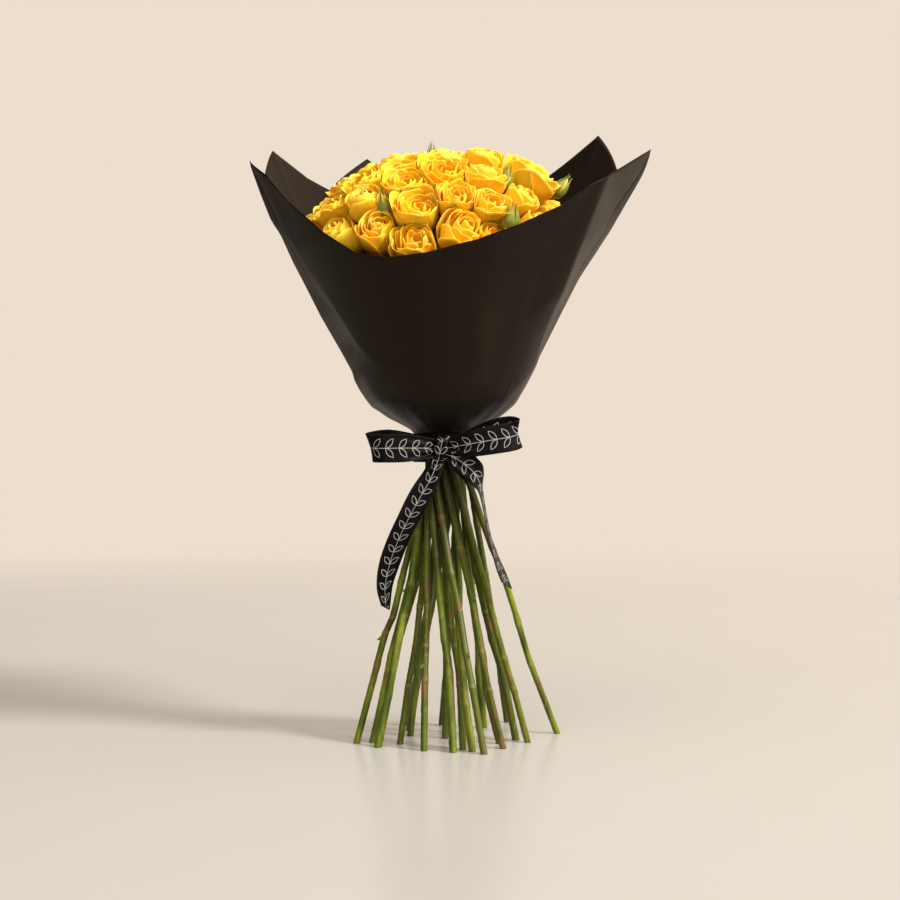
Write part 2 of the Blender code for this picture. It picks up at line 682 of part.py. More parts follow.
def main():
    for obj in list(bpy.data.objects):
        bpy.data.objects.remove(obj)
    green = plain_material("stem_green", (0.20, 0.34, 0.07), 0.55)
    yellow = plain_material("petal_yellow", (0.95, 0.62, 0.03), 0.60)
    brown = plain_material("paper_brown_black", (0.030, 0.024, 0.020), 0.75)
    black = plain_material("ribbon_black", (0.012, 0.013, 0.018), 0.40)
    tan = plain_material("twine_tan", (0.42, 0.30, 0.17), 0.85)

    faces, radii = settle_faces()
    stem_radii = np.array([STEM_RADII[s % len(STEM_RADII)] for s in range(len(SPRAYS))])
    feet, waist = settle_stems(stem_radii)
    first = 0
    bloom_count = sum(len(blooms) for _, _, blooms in SPRAYS)
    for s, (_, _, blooms) in enumerate(SPRAYS):
        last = first + len(blooms)
        own = [(faces[bloom_count + k], width / 1000.0)
               for k, (carrier, _, _, width) in enumerate(BUDS) if carrier == s]
        build_spray(s, feet[s], waist[s], faces[first:last], radii[first:last], own, green, yellow)
        first = last

    paper_sheet("paper_front", FRONT_EDGE, 0.0, brown)
    paper_sheet("paper_back", BACK_EDGE, SHEET_STEP, brown)
    paper_sheet("paper_inner", INNER_EDGE, 2 * SHEET_STEP, brown)
    make_object("binding", closed_ring(binding_profile(), BINDING_SIDES), tan)
    strips = [ribbon_strip(rows) for rows in (LEFT_LOOP, RIGHT_LOOP, LEFT_TAIL, RIGHT_TAIL)]
    fuse("ribbon", [closed_ring(band_profile(), RING_SIDES), knot()] + strips, black)


main()
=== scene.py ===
# Looks of the bunch of roses: fine petals, stems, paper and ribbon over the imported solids.
# Metres. Z is up, X to the right and Y away from the viewer.

import math

import bpy
import numpy as np
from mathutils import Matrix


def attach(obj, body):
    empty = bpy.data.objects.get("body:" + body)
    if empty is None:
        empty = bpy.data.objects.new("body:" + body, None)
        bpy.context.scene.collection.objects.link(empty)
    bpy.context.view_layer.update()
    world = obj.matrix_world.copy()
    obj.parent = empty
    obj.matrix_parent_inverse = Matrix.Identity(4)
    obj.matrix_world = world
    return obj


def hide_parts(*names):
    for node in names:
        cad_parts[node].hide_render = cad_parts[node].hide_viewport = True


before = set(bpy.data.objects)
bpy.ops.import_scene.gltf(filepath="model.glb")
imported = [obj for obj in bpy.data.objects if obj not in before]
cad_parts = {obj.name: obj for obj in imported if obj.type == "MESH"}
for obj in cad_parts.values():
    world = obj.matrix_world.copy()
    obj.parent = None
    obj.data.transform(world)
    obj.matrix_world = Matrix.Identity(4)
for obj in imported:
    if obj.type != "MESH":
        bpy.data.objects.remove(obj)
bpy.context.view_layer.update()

MM = 1000.0
UP = np.array((0.0, 0.0, 1.0))

# Heights and sizes shared with the solids
WAIST_Z = 0.235
STRAIGHT_TOP_Z = 0.300
CLEAR_TOP_Z = 0.330
HEAD_CENTRE = np.array((-0.005, 0.0, 0.385))
HEAD_SIZE = np.array((0.112, 0.108, 0.085))
HEAD_FOCUS = np.array((-0.005, 0.0, 0.340))

STEM_RADII = (0.0030, 0.0029, 0.0028, 0.0030, 0.0031)
STEM_GAP = 0.0004
SPIRAL_TURN = 77.0
RING_RADII = (0.0185, 0.0108, 0.0036)
NODE_HEIGHTS = (0.050, 0.108, 0.168)
NODE_KINK = 0.0016
KINK_TOP_Z = 0.168
STEM_BEND = 0.0013
THORN_HEIGHTS = (0.072, 0.118)
THORN_LENGTH = 0.0034
SHOOT_RADIUS = 0.0017
HIP_RADIUS = 0.0046
HIP_HEIGHT = 0.0085
BUD_LENGTH = 0.021

# Fineness and small forms that only the looks have
STEM_SIDES = 12
STEM_LUMP = 0.00007
SHOOT_SIDES = 9
SPUR_SIDES = 8
HIP_SIDES = 14
SEPAL_LENGTH = 0.0125
SEPAL_WIDE = 0.0024
SEPAL_THICK, BUD_SEPAL_THICK = 0.0004, 0.00045
SEPALS = 5
CURVE_REACH = 0.38
SEPAL_HINT = (0.31, 0.17, 0.93)
# Half width of a closed bud and of the sepals round it, by height
BUD_OUTLINE = (
    (0.0, 0.35), (0.10, 0.62), (0.22, 0.86), (0.42, 0.97), (0.65, 0.74), (0.85, 0.38), (1.0, 0.05),
)
BUD_SEPAL = (
    (0.10, 0.80), (0.22, 0.99), (0.42, 1.06), (0.65, 0.84), (0.85, 0.50), (1.0, 0.30), (1.25, 0.34),
)
# Where shoots part from a stem: how far over its straight top, and how far towards its flowers
FORK_RISE, FORK_SHARE = 0.030, 0.28
# How far a kink strays up or down, its length, and the stretch over which kinks fade out
NODE_STRAY, KINK_LENGTH, KINK_FADE = 0.014, 0.007, 0.06
# Rings of a stem: their spacing below and in the tie, and where the tie starts
STEM_STEP, TIE_STEP, TIE_Z = 0.0024, 0.004, 0.225
KINK_SEED, THORN_SEED, FLOWER_SEED, STEM_SEED, BUD_SEED = 520, 700, 3100, 4200, 6100

BLOOM_GAP = 0.0005
FACE_AT = 0.82
PAIR_REACH = 0.84
LOWEST_FACE = 0.10
# How flowers settle: pull between those of a spray, push between others, pull to their marks, and
# by how much those that still touch shrink a round
PAIR_PULL, CROWD_PUSH, HOME_PULL = 0.30, 0.35, 0.012
SHRINK_ROUNDS, SHRINK = 40, 0.985
# How stems settle: levels looked at, push, and how the tie is drawn in until the last rounds
TIE_LEVELS = 34
STEM_PUSH = 0.45
EARLY_DRAW, LATE_DRAW = 0.995, 0.998
LAST_ROUNDS = 60
# Flowers raised over the dome, by spray and place in it, both counted from 0
LIFTED = {(16, 0): 0.009, (15, 1): 0.006, (21, 0): 0.004}

# Each spray: ring of the bundle, foot on the floor, and its flowers as bearing, tilt and width
# in mm
OUTER, MIDDLE, INNER = 0, 1, 2
SPRAYS = (
    (OUTER, (0.0670, -0.0220), ((-27, 76, 33), (-41, 61, 30))),
    (OUTER, (0.0926, 0.0190), ((-10, 81, 33), (-14, 66, 38))),
    (OUTER, (0.0520, 0.0786), ((8, 78, 38), (9, 60, 28))),
    (OUTER, (-0.0049, 0.0660), ((24, 80, 31), (26, 63, 31))),
    (OUTER, (-0.0300, 0.0560), ((45, 72, 34), (40, 56, 29))),
    (OUTER, (-0.0558, 0.0266), ((67, 76, 34), (84, 62, 34))),
    (OUTER, (0.0440, -0.0520), ((-47, 75, 32), (-60, 60, 31))),
    (OUTER, (0.0316, -0.0734), ((-70, 76, 34), (-92, 73, 36), (-106, 56, 32))),
    (OUTER, (-0.0691, -0.0290), ((92, 78, 37), (114, 76, 38))),
    (OUTER, (-0.0461, -0.0450), ((136, 76, 38), (158, 76, 38))),
    (OUTER, (-0.0148, -0.0630), ((180, 76, 38), (202, 76, 38))),
    (OUTER, (0.0070, -0.0700), ((224, 74, 37), (246, 74, 36))),
    (MIDDLE, (0.0440, -0.0310), ((-44, 44, 34), (-74, 46, 33))),
    (MIDDLE, (0.0574, -0.0170), ((-26, 40, 32), (-11, 50, 32))),
    (MIDDLE, (0.0300, 0.0500), ((1, 39, 38), (8, 21, 31))),
    (MIDDLE, (-0.0345, 0.0289), ((26, 45, 36), (46, 28, 33))),
    (MIDDLE, (-0.0606, -0.0320), ((70, 44, 44),)),
    (MIDDLE, (-0.0376, -0.0320), ((106, 52, 40), (132, 50, 40))),
    (MIDDLE, (0.0150, -0.0605), ((159, 52, 40), (186, 51, 40))),
    (MIDDLE, (0.0235, -0.0700), ((214, 52, 40), (241, 52, 38))),
    (INNER, (0.0200, 0.0200), ((-50, 20, 36), (-98, 34, 34))),
    (INNER, (-0.0250, 0.0040), ((95, 20, 36), (135, 27, 38))),
    (INNER, (0.0, 0.0), ((190, 27, 37), (240, 28, 35), (20, 5, 37))),
)
ORIGIN_SPRAY = 22
# Each bud: its spray, counted from 0, bearing, tilt and width in mm
BUDS = (
    (14, -12, 12, 9), (3, 33, 75, 13), (15, 52, 44, 9), (5, 82, 58, 10), (1, -26, 66, 8),
    (9, 148, 64, 11), (19, 228, 38, 10),
)
# How each bud stands out of the flowers round it: millimetres from its solid, and how upright it is
BUD_STAND = (
    ((1, -2, 9), 0.6), ((-4, -4, 10), 1.6), ((-4, -5, 10), 1.2), ((18, 0, 16), 0.0),
    ((-1, -4, 6), 1.2), ((-6, 8, 6), 0.2), ((-6, 5, 8), 0.4),
)

# Wrapping paper, shared with the solids: radius by height, shape from above by bearing, and the
# height of the rim of each sheet by bearing
PAPER_THICK = 0.0007
PAPER_PROFILE = (
    (0.2300, 0.0247), (0.2475, 0.0249), (0.2505, 0.0285), (0.2570, 0.0410), (0.2635, 0.0496),
    (0.2710, 0.0590), (0.2830, 0.0676), (0.3000, 0.0765), (0.3420, 0.0985), (0.5200, 0.1989),
)
PAPER_PLAN = (
    (-180, 0.995), (-150, 0.985), (-120, 0.965), (-90, 0.990), (-75, 0.975), (-63, 1.010),
    (-45, 0.990), (0, 1.000), (40, 0.990), (56, 1.015), (68, 0.995), (80, 0.985),
    (90, 0.985), (118, 0.970), (132, 0.945), (150, 0.980), (180, 0.995),
)
PLAN_LOW_Z, PLAN_FULL_Z = 0.252, 0.290
PAPER_LOW_Z = 0.2360
PAPER_ROWS = 78
PAPER_SHEET_THICK = PAPER_THICK * 0.7
PAPER_LEAN = ((0.2520, 0.0), (0.3420, -0.0038), (0.5200, 0.0024))
SHEET_STEP = 0.0014
FRONT_EDGE = (
    (-104, 0.355), (-96, 0.375), (-86, 0.410), (-75, 0.4606), (-63, 0.445), (-55, 0.421),
    (-44, 0.398), (-32, 0.381), (-19, 0.377), (-5, 0.380), (12, 0.389), (26, 0.401),
    (40, 0.417), (48, 0.433), (56, 0.444), (68, 0.458), (80, 0.4720), (88, 0.425),
    (97, 0.380), (105, 0.355),
)
BACK_EDGE = (
    (80, 0.360), (88, 0.385), (97, 0.422), (105, 0.447), (118, 0.473), (132, 0.5090),
    (141, 0.489), (150, 0.470), (165, 0.452), (180, 0.446), (192, 0.446), (204, 0.450),
    (216, 0.458), (228, 0.470), (240, 0.4900), (250, 0.465), (256, 0.447), (264, 0.415),
    (274, 0.378), (280, 0.360),
)
INNER_EDGE = (
    (150, 0.400), (165, 0.430), (180, 0.448), (192, 0.470), (204, 0.4950), (216, 0.470),
    (228, 0.440), (240, 0.400),
)


# Small geometry helpers

def unit(v):
    v = np.asarray(v, float)
    return v / np.linalg.norm(v)


def read_table(table, at):
    return np.interp(at, [row[0] for row in table], [row[1] for row in table])


def smooth_step(low, high, x):
    t = np.clip((x - low) / (high - low), 0.0, 1.0)
    return t * t * (3 - 2 * t)


def around(bearing, radius, z):
    """Points at bearings from the front, counted towards +X."""
    a = np.radians(bearing)
    return np.stack((radius * np.sin(a), -radius * np.cos(a), z + 0 * a), axis=-1)


def bezier(points, s):
    a, b, c, d = points
    t = 1 - s
    return t ** 3 * a + 3 * t * t * s * b + 3 * t * s * s * c + s ** 3 * d


def curve(start, start_dir, end, end_dir, steps):
    """Line that leaves its start and meets its end in the directions given."""
    reach = np.linalg.norm(end - start) * CURVE_REACH
    points = start, start + unit(start_dir) * reach, end - unit(end_dir) * reach, end
    return bezier(points, np.linspace(0, 1, steps + 1)[:, None])


def headings(line):
    """Direction of a line at each of its points."""
    along = np.gradient(line, axis=0)
    return along / np.linalg.norm(along, axis=1)[:, None]


class Shape:
    """Collects vertices, faces and per-vertex values of one mesh."""

    def __init__(self, *values):
        self.names = values
        self.verts, self.faces = [], []
        self.values = {name: [] for name in values}
        self.count = 0

    def add(self, verts, faces, **values):
        verts = np.asarray(verts, float).reshape(-1, 3)
        faces = np.asarray(faces, int)
        self.verts.append(verts)
        self.faces.append(faces + self.count)
        for name in self.names:
            value = np.asarray(values.get(name, 0.0), float)
            self.values[name].append(np.broadcast_to(value.reshape(-1), (len(verts),)))
        self.count += len(verts)

    def build(self, name, material):
        mesh = bpy.data.meshes.new(name)
        faces = [face for block in self.faces for face in block.tolist()]
        mesh.from_pydata(np.concatenate(self.verts), [], faces)
        mesh.validate()
        mesh.shade_smooth()
        for key in self.names:
            data = np.concatenate(self.values[key]).astype(np.float32)
            mesh.attributes.new(key, "FLOAT", "POINT").data.foreach_set("value", data)
        obj = bpy.data.objects.new(name, mesh)
        bpy.context.scene.collection.objects.link(obj)
        mesh.materials.append(material)
        return obj


def grid_faces(rows, cols, wrap=False):
    """Quads of a grid of points stored row by row; wrapped ones close round the columns."""
    r = np.arange(rows - 1)[:, None] * cols
    c = np.arange(cols if wrap else cols - 1)[None, :]
    n = (c + 1) % cols
    return np.stack((r + c, r + n, r + cols + n, r + cols + c), axis=-1).reshape(-1, 4)


def add_sheet(shape, points, thickness, **values):
    """Adds a closed skin round a grid of mid points. Thickness and values may vary over the grid,
    and a shape with the value "outer" gets it on the front of the sheet."""
    rows, cols = points.shape[:2]
    count = rows * cols
    normal = np.cross(np.gradient(points, axis=1), np.gradient(points, axis=0))
    normal /= np.linalg.norm(normal, axis=-1)[..., None] + 1e-12
    half = (np.broadcast_to(thickness, (rows, cols)) / 2)[..., None]
    verts = np.stack((points + normal * half, points - normal * half))
    front = grid_faces(rows, cols)
    edge = np.concatenate((
        np.arange(cols - 1), cols - 1 + cols * np.arange(rows - 1),
        count - 1 - np.arange(cols - 1), cols * (rows - 1) - cols * np.arange(rows - 1)))
    after = np.roll(edge, -1)
    rim = np.stack((edge, edge + count, after + count, after), axis=-1)
    values = {name: np.tile(np.broadcast_to(value, (rows, cols)).reshape(-1), 2)
              for name, value in values.items()}
    shape.add(verts, np.concatenate((front, front[:, ::-1] + count, rim)),
              outer=np.repeat((1.0, 0.0), count), **values)


def tube_points(path, radii, sides, turn=0.0, level=False):
    """Rings of a tube along a path, square to it or level."""
    a = turn + 2 * math.pi * np.arange(sides) / sides
    rings, side = [], np.array((1.0, 0.0, 0.0))
    for p, d, r in zip(path, headings(path), radii):
        if level:
            d = UP
        side = unit(side - d * side.dot(d))
        across = np.cross(d, side)
        rings.append(p + r * (np.cos(a)[:, None] * side + np.sin(a)[:, None] * across))
    return np.array(rings)


def cap_faces(sides):
    """Triangles from the points of a ring to the point after them."""
    k = np.arange(sides)
    return np.stack(((k + 1) % sides, k, np.full(sides, sides)), axis=-1)


def add_tube(shape, rings, caps=(True, True), **values):
    """Adds a tube with flat caps; values are given per ring."""
    count, sides = rings.shape[:2]
    values = {name: np.broadcast_to(value, (count,)) for name, value in values.items()}
    shape.add(rings, grid_faces(count, sides, wrap=True),
              **{name: np.repeat(value, sides) for name, value in values.items()})
    for end, index, way in zip(caps, (0, count - 1), (1, -1)):
        if end:
            shape.add(np.vstack((rings[index], rings[index].mean(axis=0))),
                      cap_faces(sides)[:, ::way],
                      **{name: value[index] for name, value in values.items()})


# Places of the flowers over the head, as in the solids

def face_point(bearing, tilt):
    a, t = math.radians(bearing), math.radians(tilt)
    out = math.sin(t)
    return np.array((out * math.sin(a), -out * math.cos(a), math.cos(t))) * HEAD_SIZE


def settle_faces(rounds=260):
    marks = [(s, *bloom) for s, (_, _, blooms) in enumerate(SPRAYS) for bloom in blooms]
    marks += [(len(SPRAYS) + k, *bud[1:]) for k, bud in enumerate(BUDS)]
    spray = np.array([mark[0] for mark in marks])
    radius = np.array([mark[3] / 2 / MM for mark in marks])
    home = np.array([face_point(*mark[1:3]) for mark in marks])
    same = spray[:, None] == spray[None, :]
    both = radius[:, None] + radius[None, :]
    goal = np.where(same, PAIR_REACH * both, both + BLOOM_GAP)
    share = radius[None, :] / both
    place = home.copy()
    for _ in range(rounds):
        apart = place[None, :, :] - place[:, None, :]
        far = np.linalg.norm(apart, axis=2) + np.eye(len(spray))
        slack = far - goal
        pull = np.where(same, PAIR_PULL * slack, CROWD_PUSH * np.minimum(slack, 0.0))
        np.fill_diagonal(pull, 0.0)
        push = (apart / far[:, :, None] * (pull * share)[:, :, None]).sum(axis=1)
        loose = (place + push + HOME_PULL * (home - place)) / HEAD_SIZE
        loose[:, 2] = np.maximum(loose[:, 2], LOWEST_FACE)
        place = loose / np.linalg.norm(loose, axis=1)[:, None] * HEAD_SIZE
    far = np.linalg.norm(place[None] - place[:, None], axis=2)
    far[same] = 1.0
    for _ in range(SHRINK_ROUNDS):
        room = (far - radius[None, :] - BLOOM_GAP).min(axis=1)
        radius = np.minimum(radius, np.maximum(room, radius * SHRINK))
    place = place + HEAD_CENTRE
    for (s, k), lift in LIFTED.items():
        index = sum(len(blooms) for _, _, blooms in SPRAYS[:s]) + k
        place[index] += unit(place[index] - HEAD_FOCUS) * lift
    return place, radius


# Places of the stems in the bundle, as in the solids

def waist_start():
    feet = np.array([foot for _, foot, _ in SPRAYS])
    bearing = np.degrees(np.arctan2(feet[:, 0], -feet[:, 1]))
    waist = np.zeros_like(feet)
    for ring, radius in enumerate(RING_RADII):
        members = [s for s, spray in enumerate(SPRAYS) if spray[0] == ring]
        members.sort(key=lambda s: bearing[s])
        step = 360.0 / len(members)
        first = np.mean([bearing[s] - SPIRAL_TURN - step * k for k, s in enumerate(members)])
        for k, s in enumerate(members):
            turned = 0.5 * (first + step * k) + 0.5 * (bearing[s] - SPIRAL_TURN)
            waist[s] = around(turned, radius, 0.0)[:2]
    return feet, waist


def settle_stems(radii, rounds=900):
    feet, waist = waist_start()
    heights = np.linspace(0.0, CLEAR_TOP_Z, TIE_LEVELS)
    count = len(feet)
    for turn in range(rounds):
        line = feet[:, None, :] + (waist - feet)[:, None, :] * (heights[None, :, None] / WAIST_Z)
        slant = np.sqrt(1 + ((waist - feet) ** 2).sum(axis=1) / WAIST_Z ** 2)
        apart = line[None] - line[:, None]
        far = np.sqrt((apart ** 2).sum(axis=-1)) + np.eye(count)[:, :, None]
        need = radii[:, None] + radii[None, :] + STEM_GAP
        need = need * np.sqrt(slant[:, None] * slant[None, :])
        lack = np.maximum(need[:, :, None] - far, 0.0)
        lack[np.arange(count), np.arange(count)] = 0.0
        worst = lack.argmax(axis=2)
        rows, cols = np.indices((count, count))
        push = apart[rows, cols, worst] / far[rows, cols, worst][:, :, None]
        push = push * (STEM_PUSH * lack[rows, cols, worst])[:, :, None]
        level = heights[worst] / WAIST_Z
        waist = waist - (push * np.minimum(level, 1.2)[:, :, None]).sum(axis=1)
        feet = feet - (push * np.maximum(1 - level, 0.0)[:, :, None]).sum(axis=1)
        if turn < rounds - LAST_ROUNDS:
            waist = waist * (EARLY_DRAW if turn < rounds / 2 else LATE_DRAW)
        feet = feet - feet[ORIGIN_SPRAY]
    return feet, waist


def bud_place(face, stand):
    """Tip of a bud and the way it points."""
    offset, upright = stand
    return face + np.array(offset) / MM, unit(bloom_frame(face)[0] + UP * upright)


def bloom_frame(face):
    axis = unit(face - HEAD_FOCUS)
    side = unit(np.cross(UP, axis) + np.array((1e-6, 0.0, 0.0)))
    return axis, side, np.cross(axis, side)


def bloom_height(radius):
    return 0.0105 + 1.15 * radius


# Materials

class Wire:
    """Output of a node; sums, products and powers of wires are Math nodes."""

    def __init__(self, look, socket):
        self.look, self.socket = look, socket

    def __add__(self, other):
        return self.look.maths("ADD", self, other)

    def __sub__(self, other):
        return self.look.maths("SUBTRACT", self, other)

    def __rsub__(self, other):
        return self.look.maths("SUBTRACT", other, self)

    def __mul__(self, other):
        return self.look.maths("MULTIPLY", self, other)

    def __truediv__(self, other):
        return self.look.maths("DIVIDE", self, other)

    def __pow__(self, other):
        return self.look.maths("POWER", self, other)

    def __abs__(self):
        return self.look.maths("ABSOLUTE", self)


class Look:
    """Nodes of a material or a world, with short calls for the kinds used here."""

    def __init__(self, owner):
        owner.use_nodes = True
        self.owner, self.tree = owner, owner.node_tree

    def feed(self, node, inputs):
        """Feeds inputs, given by name or number, from wires or plain values."""
        for key, value in inputs.items():
            if isinstance(value, Wire):
                self.tree.links.new(value.socket, node.inputs[key])
            else:
                node.inputs[key].default_value = value

    def node(self, kind, inputs, output, **settings):
        """Adds a node and gives one of its outputs."""
        node = self.tree.nodes.new(kind)
        for key, value in settings.items():
            setattr(node, key, value)
        self.feed(node, inputs)
        return Wire(self, node.outputs[output])

    def present(self, name):
        """First output of a node that is there already."""
        return Wire(self, self.tree.nodes[name].outputs[0])

    def maths(self, operation, a, b=0.0):
        return self.node("ShaderNodeMath", {0: a, 1: b}, 0, operation=operation)

    def span(self, value, low, high, to_low=0.0, to_high=1.0, kind="SMOOTHSTEP"):
        return self.node("ShaderNodeMapRange", {
            "Value": value, "From Min": low, "From Max": high, "To Min": to_low, "To Max": to_high,
        }, "Result", interpolation_type=kind)

    def level(self, value, low, high):
        """Level that follows a noise over its usual reach."""
        return self.span(value, 0.3, 0.7, low, high, "LINEAR")

    def mix(self, share, a, b):
        a, b = [(*colour, 1.0) if isinstance(colour, tuple) else colour for colour in (a, b)]
        return self.node("ShaderNodeMix", {0: share, 6: a, 7: b}, 2, data_type="RGBA")

    def coats(self, colour, *coats):
        """Colours laid over a first one, each by its share."""
        for share, coat in coats:
            colour = self.mix(share, colour, coat)
        return colour

    def noise(self, vector, scale, detail=2.0, rough=0.5, distort=0.0):
        return self.node("ShaderNodeTexNoise", {
            "Vector": vector, "Scale": scale, "Detail": detail, "Roughness": rough,
            "Distortion": distort,
        }, "Fac")

    def stretch(self, vector, scale):
        return self.node("ShaderNodeMapping", {"Vector": vector, "Scale": scale}, "Vector")

    def place(self):
        return self.node("ShaderNodeTexCoord", {}, "Object")

    def values(self, *names):
        """Values that the mesh carries at its vertices."""
        return [self.node("ShaderNodeAttribute", {}, "Fac", attribute_name=n) for n in names]

    def together(self, x, y, z):
        return self.node("ShaderNodeCombineXYZ", {0: x, 1: y, 2: z}, 0)

    def bump(self, height, strength, distance, below=None):
        inputs = {"Height": height, "Strength": strength, "Distance": distance}
        if below is not None:
            inputs["Normal"] = below
        return self.node("ShaderNodeBump", inputs, "Normal")

    def surface(self, inputs):
        """Feeds the shader of a material and gives the material."""
        self.feed(self.tree.nodes["Principled BSDF"], inputs)
        return self.owner

    def blend(self, output, share, a, b):
        """Sends a blend of two shaders to the output."""
        mixed = self.node("ShaderNodeMixShader", {0: share, 1: a, 2: b}, 0)
        self.feed(self.tree.nodes[output], {"Surface": mixed})


def new_look(name):
    return Look(bpy.data.materials.new(name))


def petal_look():
    """Golden yellow, painted orange shade deep in the folds, pale along the rims, finely veined."""
    look = new_look("petal_golden")
    along, rim, layer, across, tone, outer = look.values(
        "along", "rim", "layer", "across", "tone", "outer")
    place = look.place()
    patch = look.noise(place, 55.0)
    veins = look.noise(look.together(across * 26.0, along * 2.5, tone), 1.0, 3.0, 0.6)
    # painted shade: orange towards petal bases, on inner petals and on outer faces;
    # the patch noise and tone vary the rose's own colour at random
    painted_fold_shade_and_tone = ((1.0 - along) ** 1.4 + (1.0 - layer) * 0.16 + (patch - 0.5) * 0.7
            + (tone - 0.5) * 0.35 + outer * 0.30)
    # (1.0, 0.530, 0.001) is the orange of the painted shade in the folds
    base = look.mix(look.span(painted_fold_shade_and_tone, 0.0, 1.05), (1.0, 0.635, 0.036), (1.0, 0.530, 0.001))
    edge = look.span(rim, 0.945, 1.0) * look.span(patch, 0.36, 0.62)
    normal = look.bump(veins, 0.25, 0.0004)
    return look.surface({
        "Base Color": look.coats(base, (look.span(veins, 0.35, 0.70) * 0.22, (1.0, 0.62, 0.02)),
                                 (edge * 0.70, (1.0, 0.68, 0.18))),
        "Roughness": look.level(patch, 0.46, 0.60),
        "Subsurface Weight": 0.80, "Subsurface Radius": (1.0, 0.80, 0.20),
        "Subsurface Scale": 0.0005, "Specular IOR Level": 0.25,
        "Normal": look.bump(look.noise(place, 420.0), 0.12, 0.0003, normal)})


def bark_look():
    """Rose stem: bright green bark with a lighter bloom, rusty scars and pale nodes."""
    look = new_look("stem_bark")
    # "high" carries painted shade: the bark darkens up towards the tie, in the head's shadow
    node, cut, tone, high = look.values("node", "cut", "tone", "high")
    place = look.place()
    drawn = look.stretch(place, (1.0, 1.0, 0.16))
    broad = look.noise(drawn, 90.0, 3.0, 0.55)
    fine = look.noise(drawn, 700.0, 2.0, 0.6)
    scars = look.noise(look.stretch(place, (1.0, 1.0, 0.26)), 135.0, 4.0, 0.65, 0.4)
    scar = look.span(scars, 0.562, 0.600)
    specks = look.span(look.noise(place, 420.0, 1.0), 0.70, 0.76)
    rust = look.mix(fine, (0.075, 0.026, 0.010), (0.230, 0.100, 0.040))
    green = look.mix(look.span(broad, 0.30, 0.72), (0.034, 0.056, 0.002), (0.180, 0.232, 0.010))
    normal = look.bump(fine, 0.25, 0.0003)
    return look.surface({
        "Base Color": look.coats(
            green,
            (tone * 0.80, (0.050, 0.062, 0.004)),
            (look.span(fine, 0.55, 0.75) * 0.35, (0.255, 0.285, 0.040)),
            (scar * 0.85, rust),
            (specks * 0.80, (0.035, 0.020, 0.008)),
            (look.span(node, 0.15, 0.80) * 0.30, (0.300, 0.240, 0.070)),
            (look.span(node, 1.10, 1.35), rust),
            # painted shade: bark darker towards the tie, where the head shades the stems
            (high * 0.82, (0.017, 0.022, 0.003)),
            (cut, (0.560, 0.560, 0.330))),
        "Roughness": look.level(broad, 0.28, 0.44), "Specular IOR Level": 0.30,
        "Subsurface Weight": 0.08, "Subsurface Radius": (0.4, 1.0, 0.1),
        "Subsurface Scale": 0.001,
        "Normal": look.bump(scar * scars, 0.4, 0.0005, normal)})


def leaf_look():
    """Sepals and hips: soft green with paler margins."""
    look = new_look("sepal_green")
    along, rim, tone = look.values("along", "rim", "tone")
    place = look.place()
    patch = look.noise(place, 160.0, 3.0, 0.6)
    return look.surface({
        "Base Color": look.coats(
            look.mix(patch, (0.118, 0.165, 0.014), (0.235, 0.285, 0.030)),
            (along * 0.45, (0.330, 0.365, 0.055)),
            (look.span(rim, 0.75, 1.0) * 0.35, (0.420, 0.450, 0.120)),
            (tone * 0.35, (0.150, 0.210, 0.026))),
        "Roughness": look.level(patch, 0.45, 0.62),
        "Subsurface Weight": 0.15, "Subsurface Radius": (0.4, 1.0, 0.1),
        "Subsurface Scale": 0.001,
        "Normal": look.bump(look.noise(place, 500.0), 0.3, 0.0003)})


def paper_look():
    """Heavy matt paper, brown-black, with a faint fibre grain and lighter main creases."""
    look = new_look("paper_matt")
    crease, = look.values("crease")
    place = look.place()
    cloud = look.noise(place, 14.0, 3.0, 0.55)
    fibre = look.noise(look.stretch(place, (1.0, 1.0, 0.45)), 900.0, 3.0, 0.65)
    normal = look.bump(fibre, 0.18, 0.0002)
    return look.surface({
        "Base Color": look.coats(
            look.mix(cloud, (0.0066, 0.0043, 0.0028), (0.0098, 0.0065, 0.0044)),
            (look.span(fibre, 0.45, 0.75) * 0.35, (0.0145, 0.0098, 0.0068)),
            (crease * 0.30, (0.022, 0.017, 0.012))),
        "Roughness": look.level(cloud, 0.34, 0.41), "Specular IOR Level": 0.108,
        "Specular Tint": (1.0, 0.83, 0.62, 1.0),
        "Normal": look.bump(look.noise(place, 60.0), 0.10, 0.0010, normal)})


# Vine on the ribbon: distance between pairs of leaves, a leaf's length, half its width and its
# lean in degrees, how far up the pitch it starts, and how wide the line is drawn
PITCH = 0.0106
LEAF_LENGTH = 0.0094
LEAF_HALF = 0.0019
LEAF_LEAN = 52.0
LEAF_START = 0.16
STROKE = 0.00038


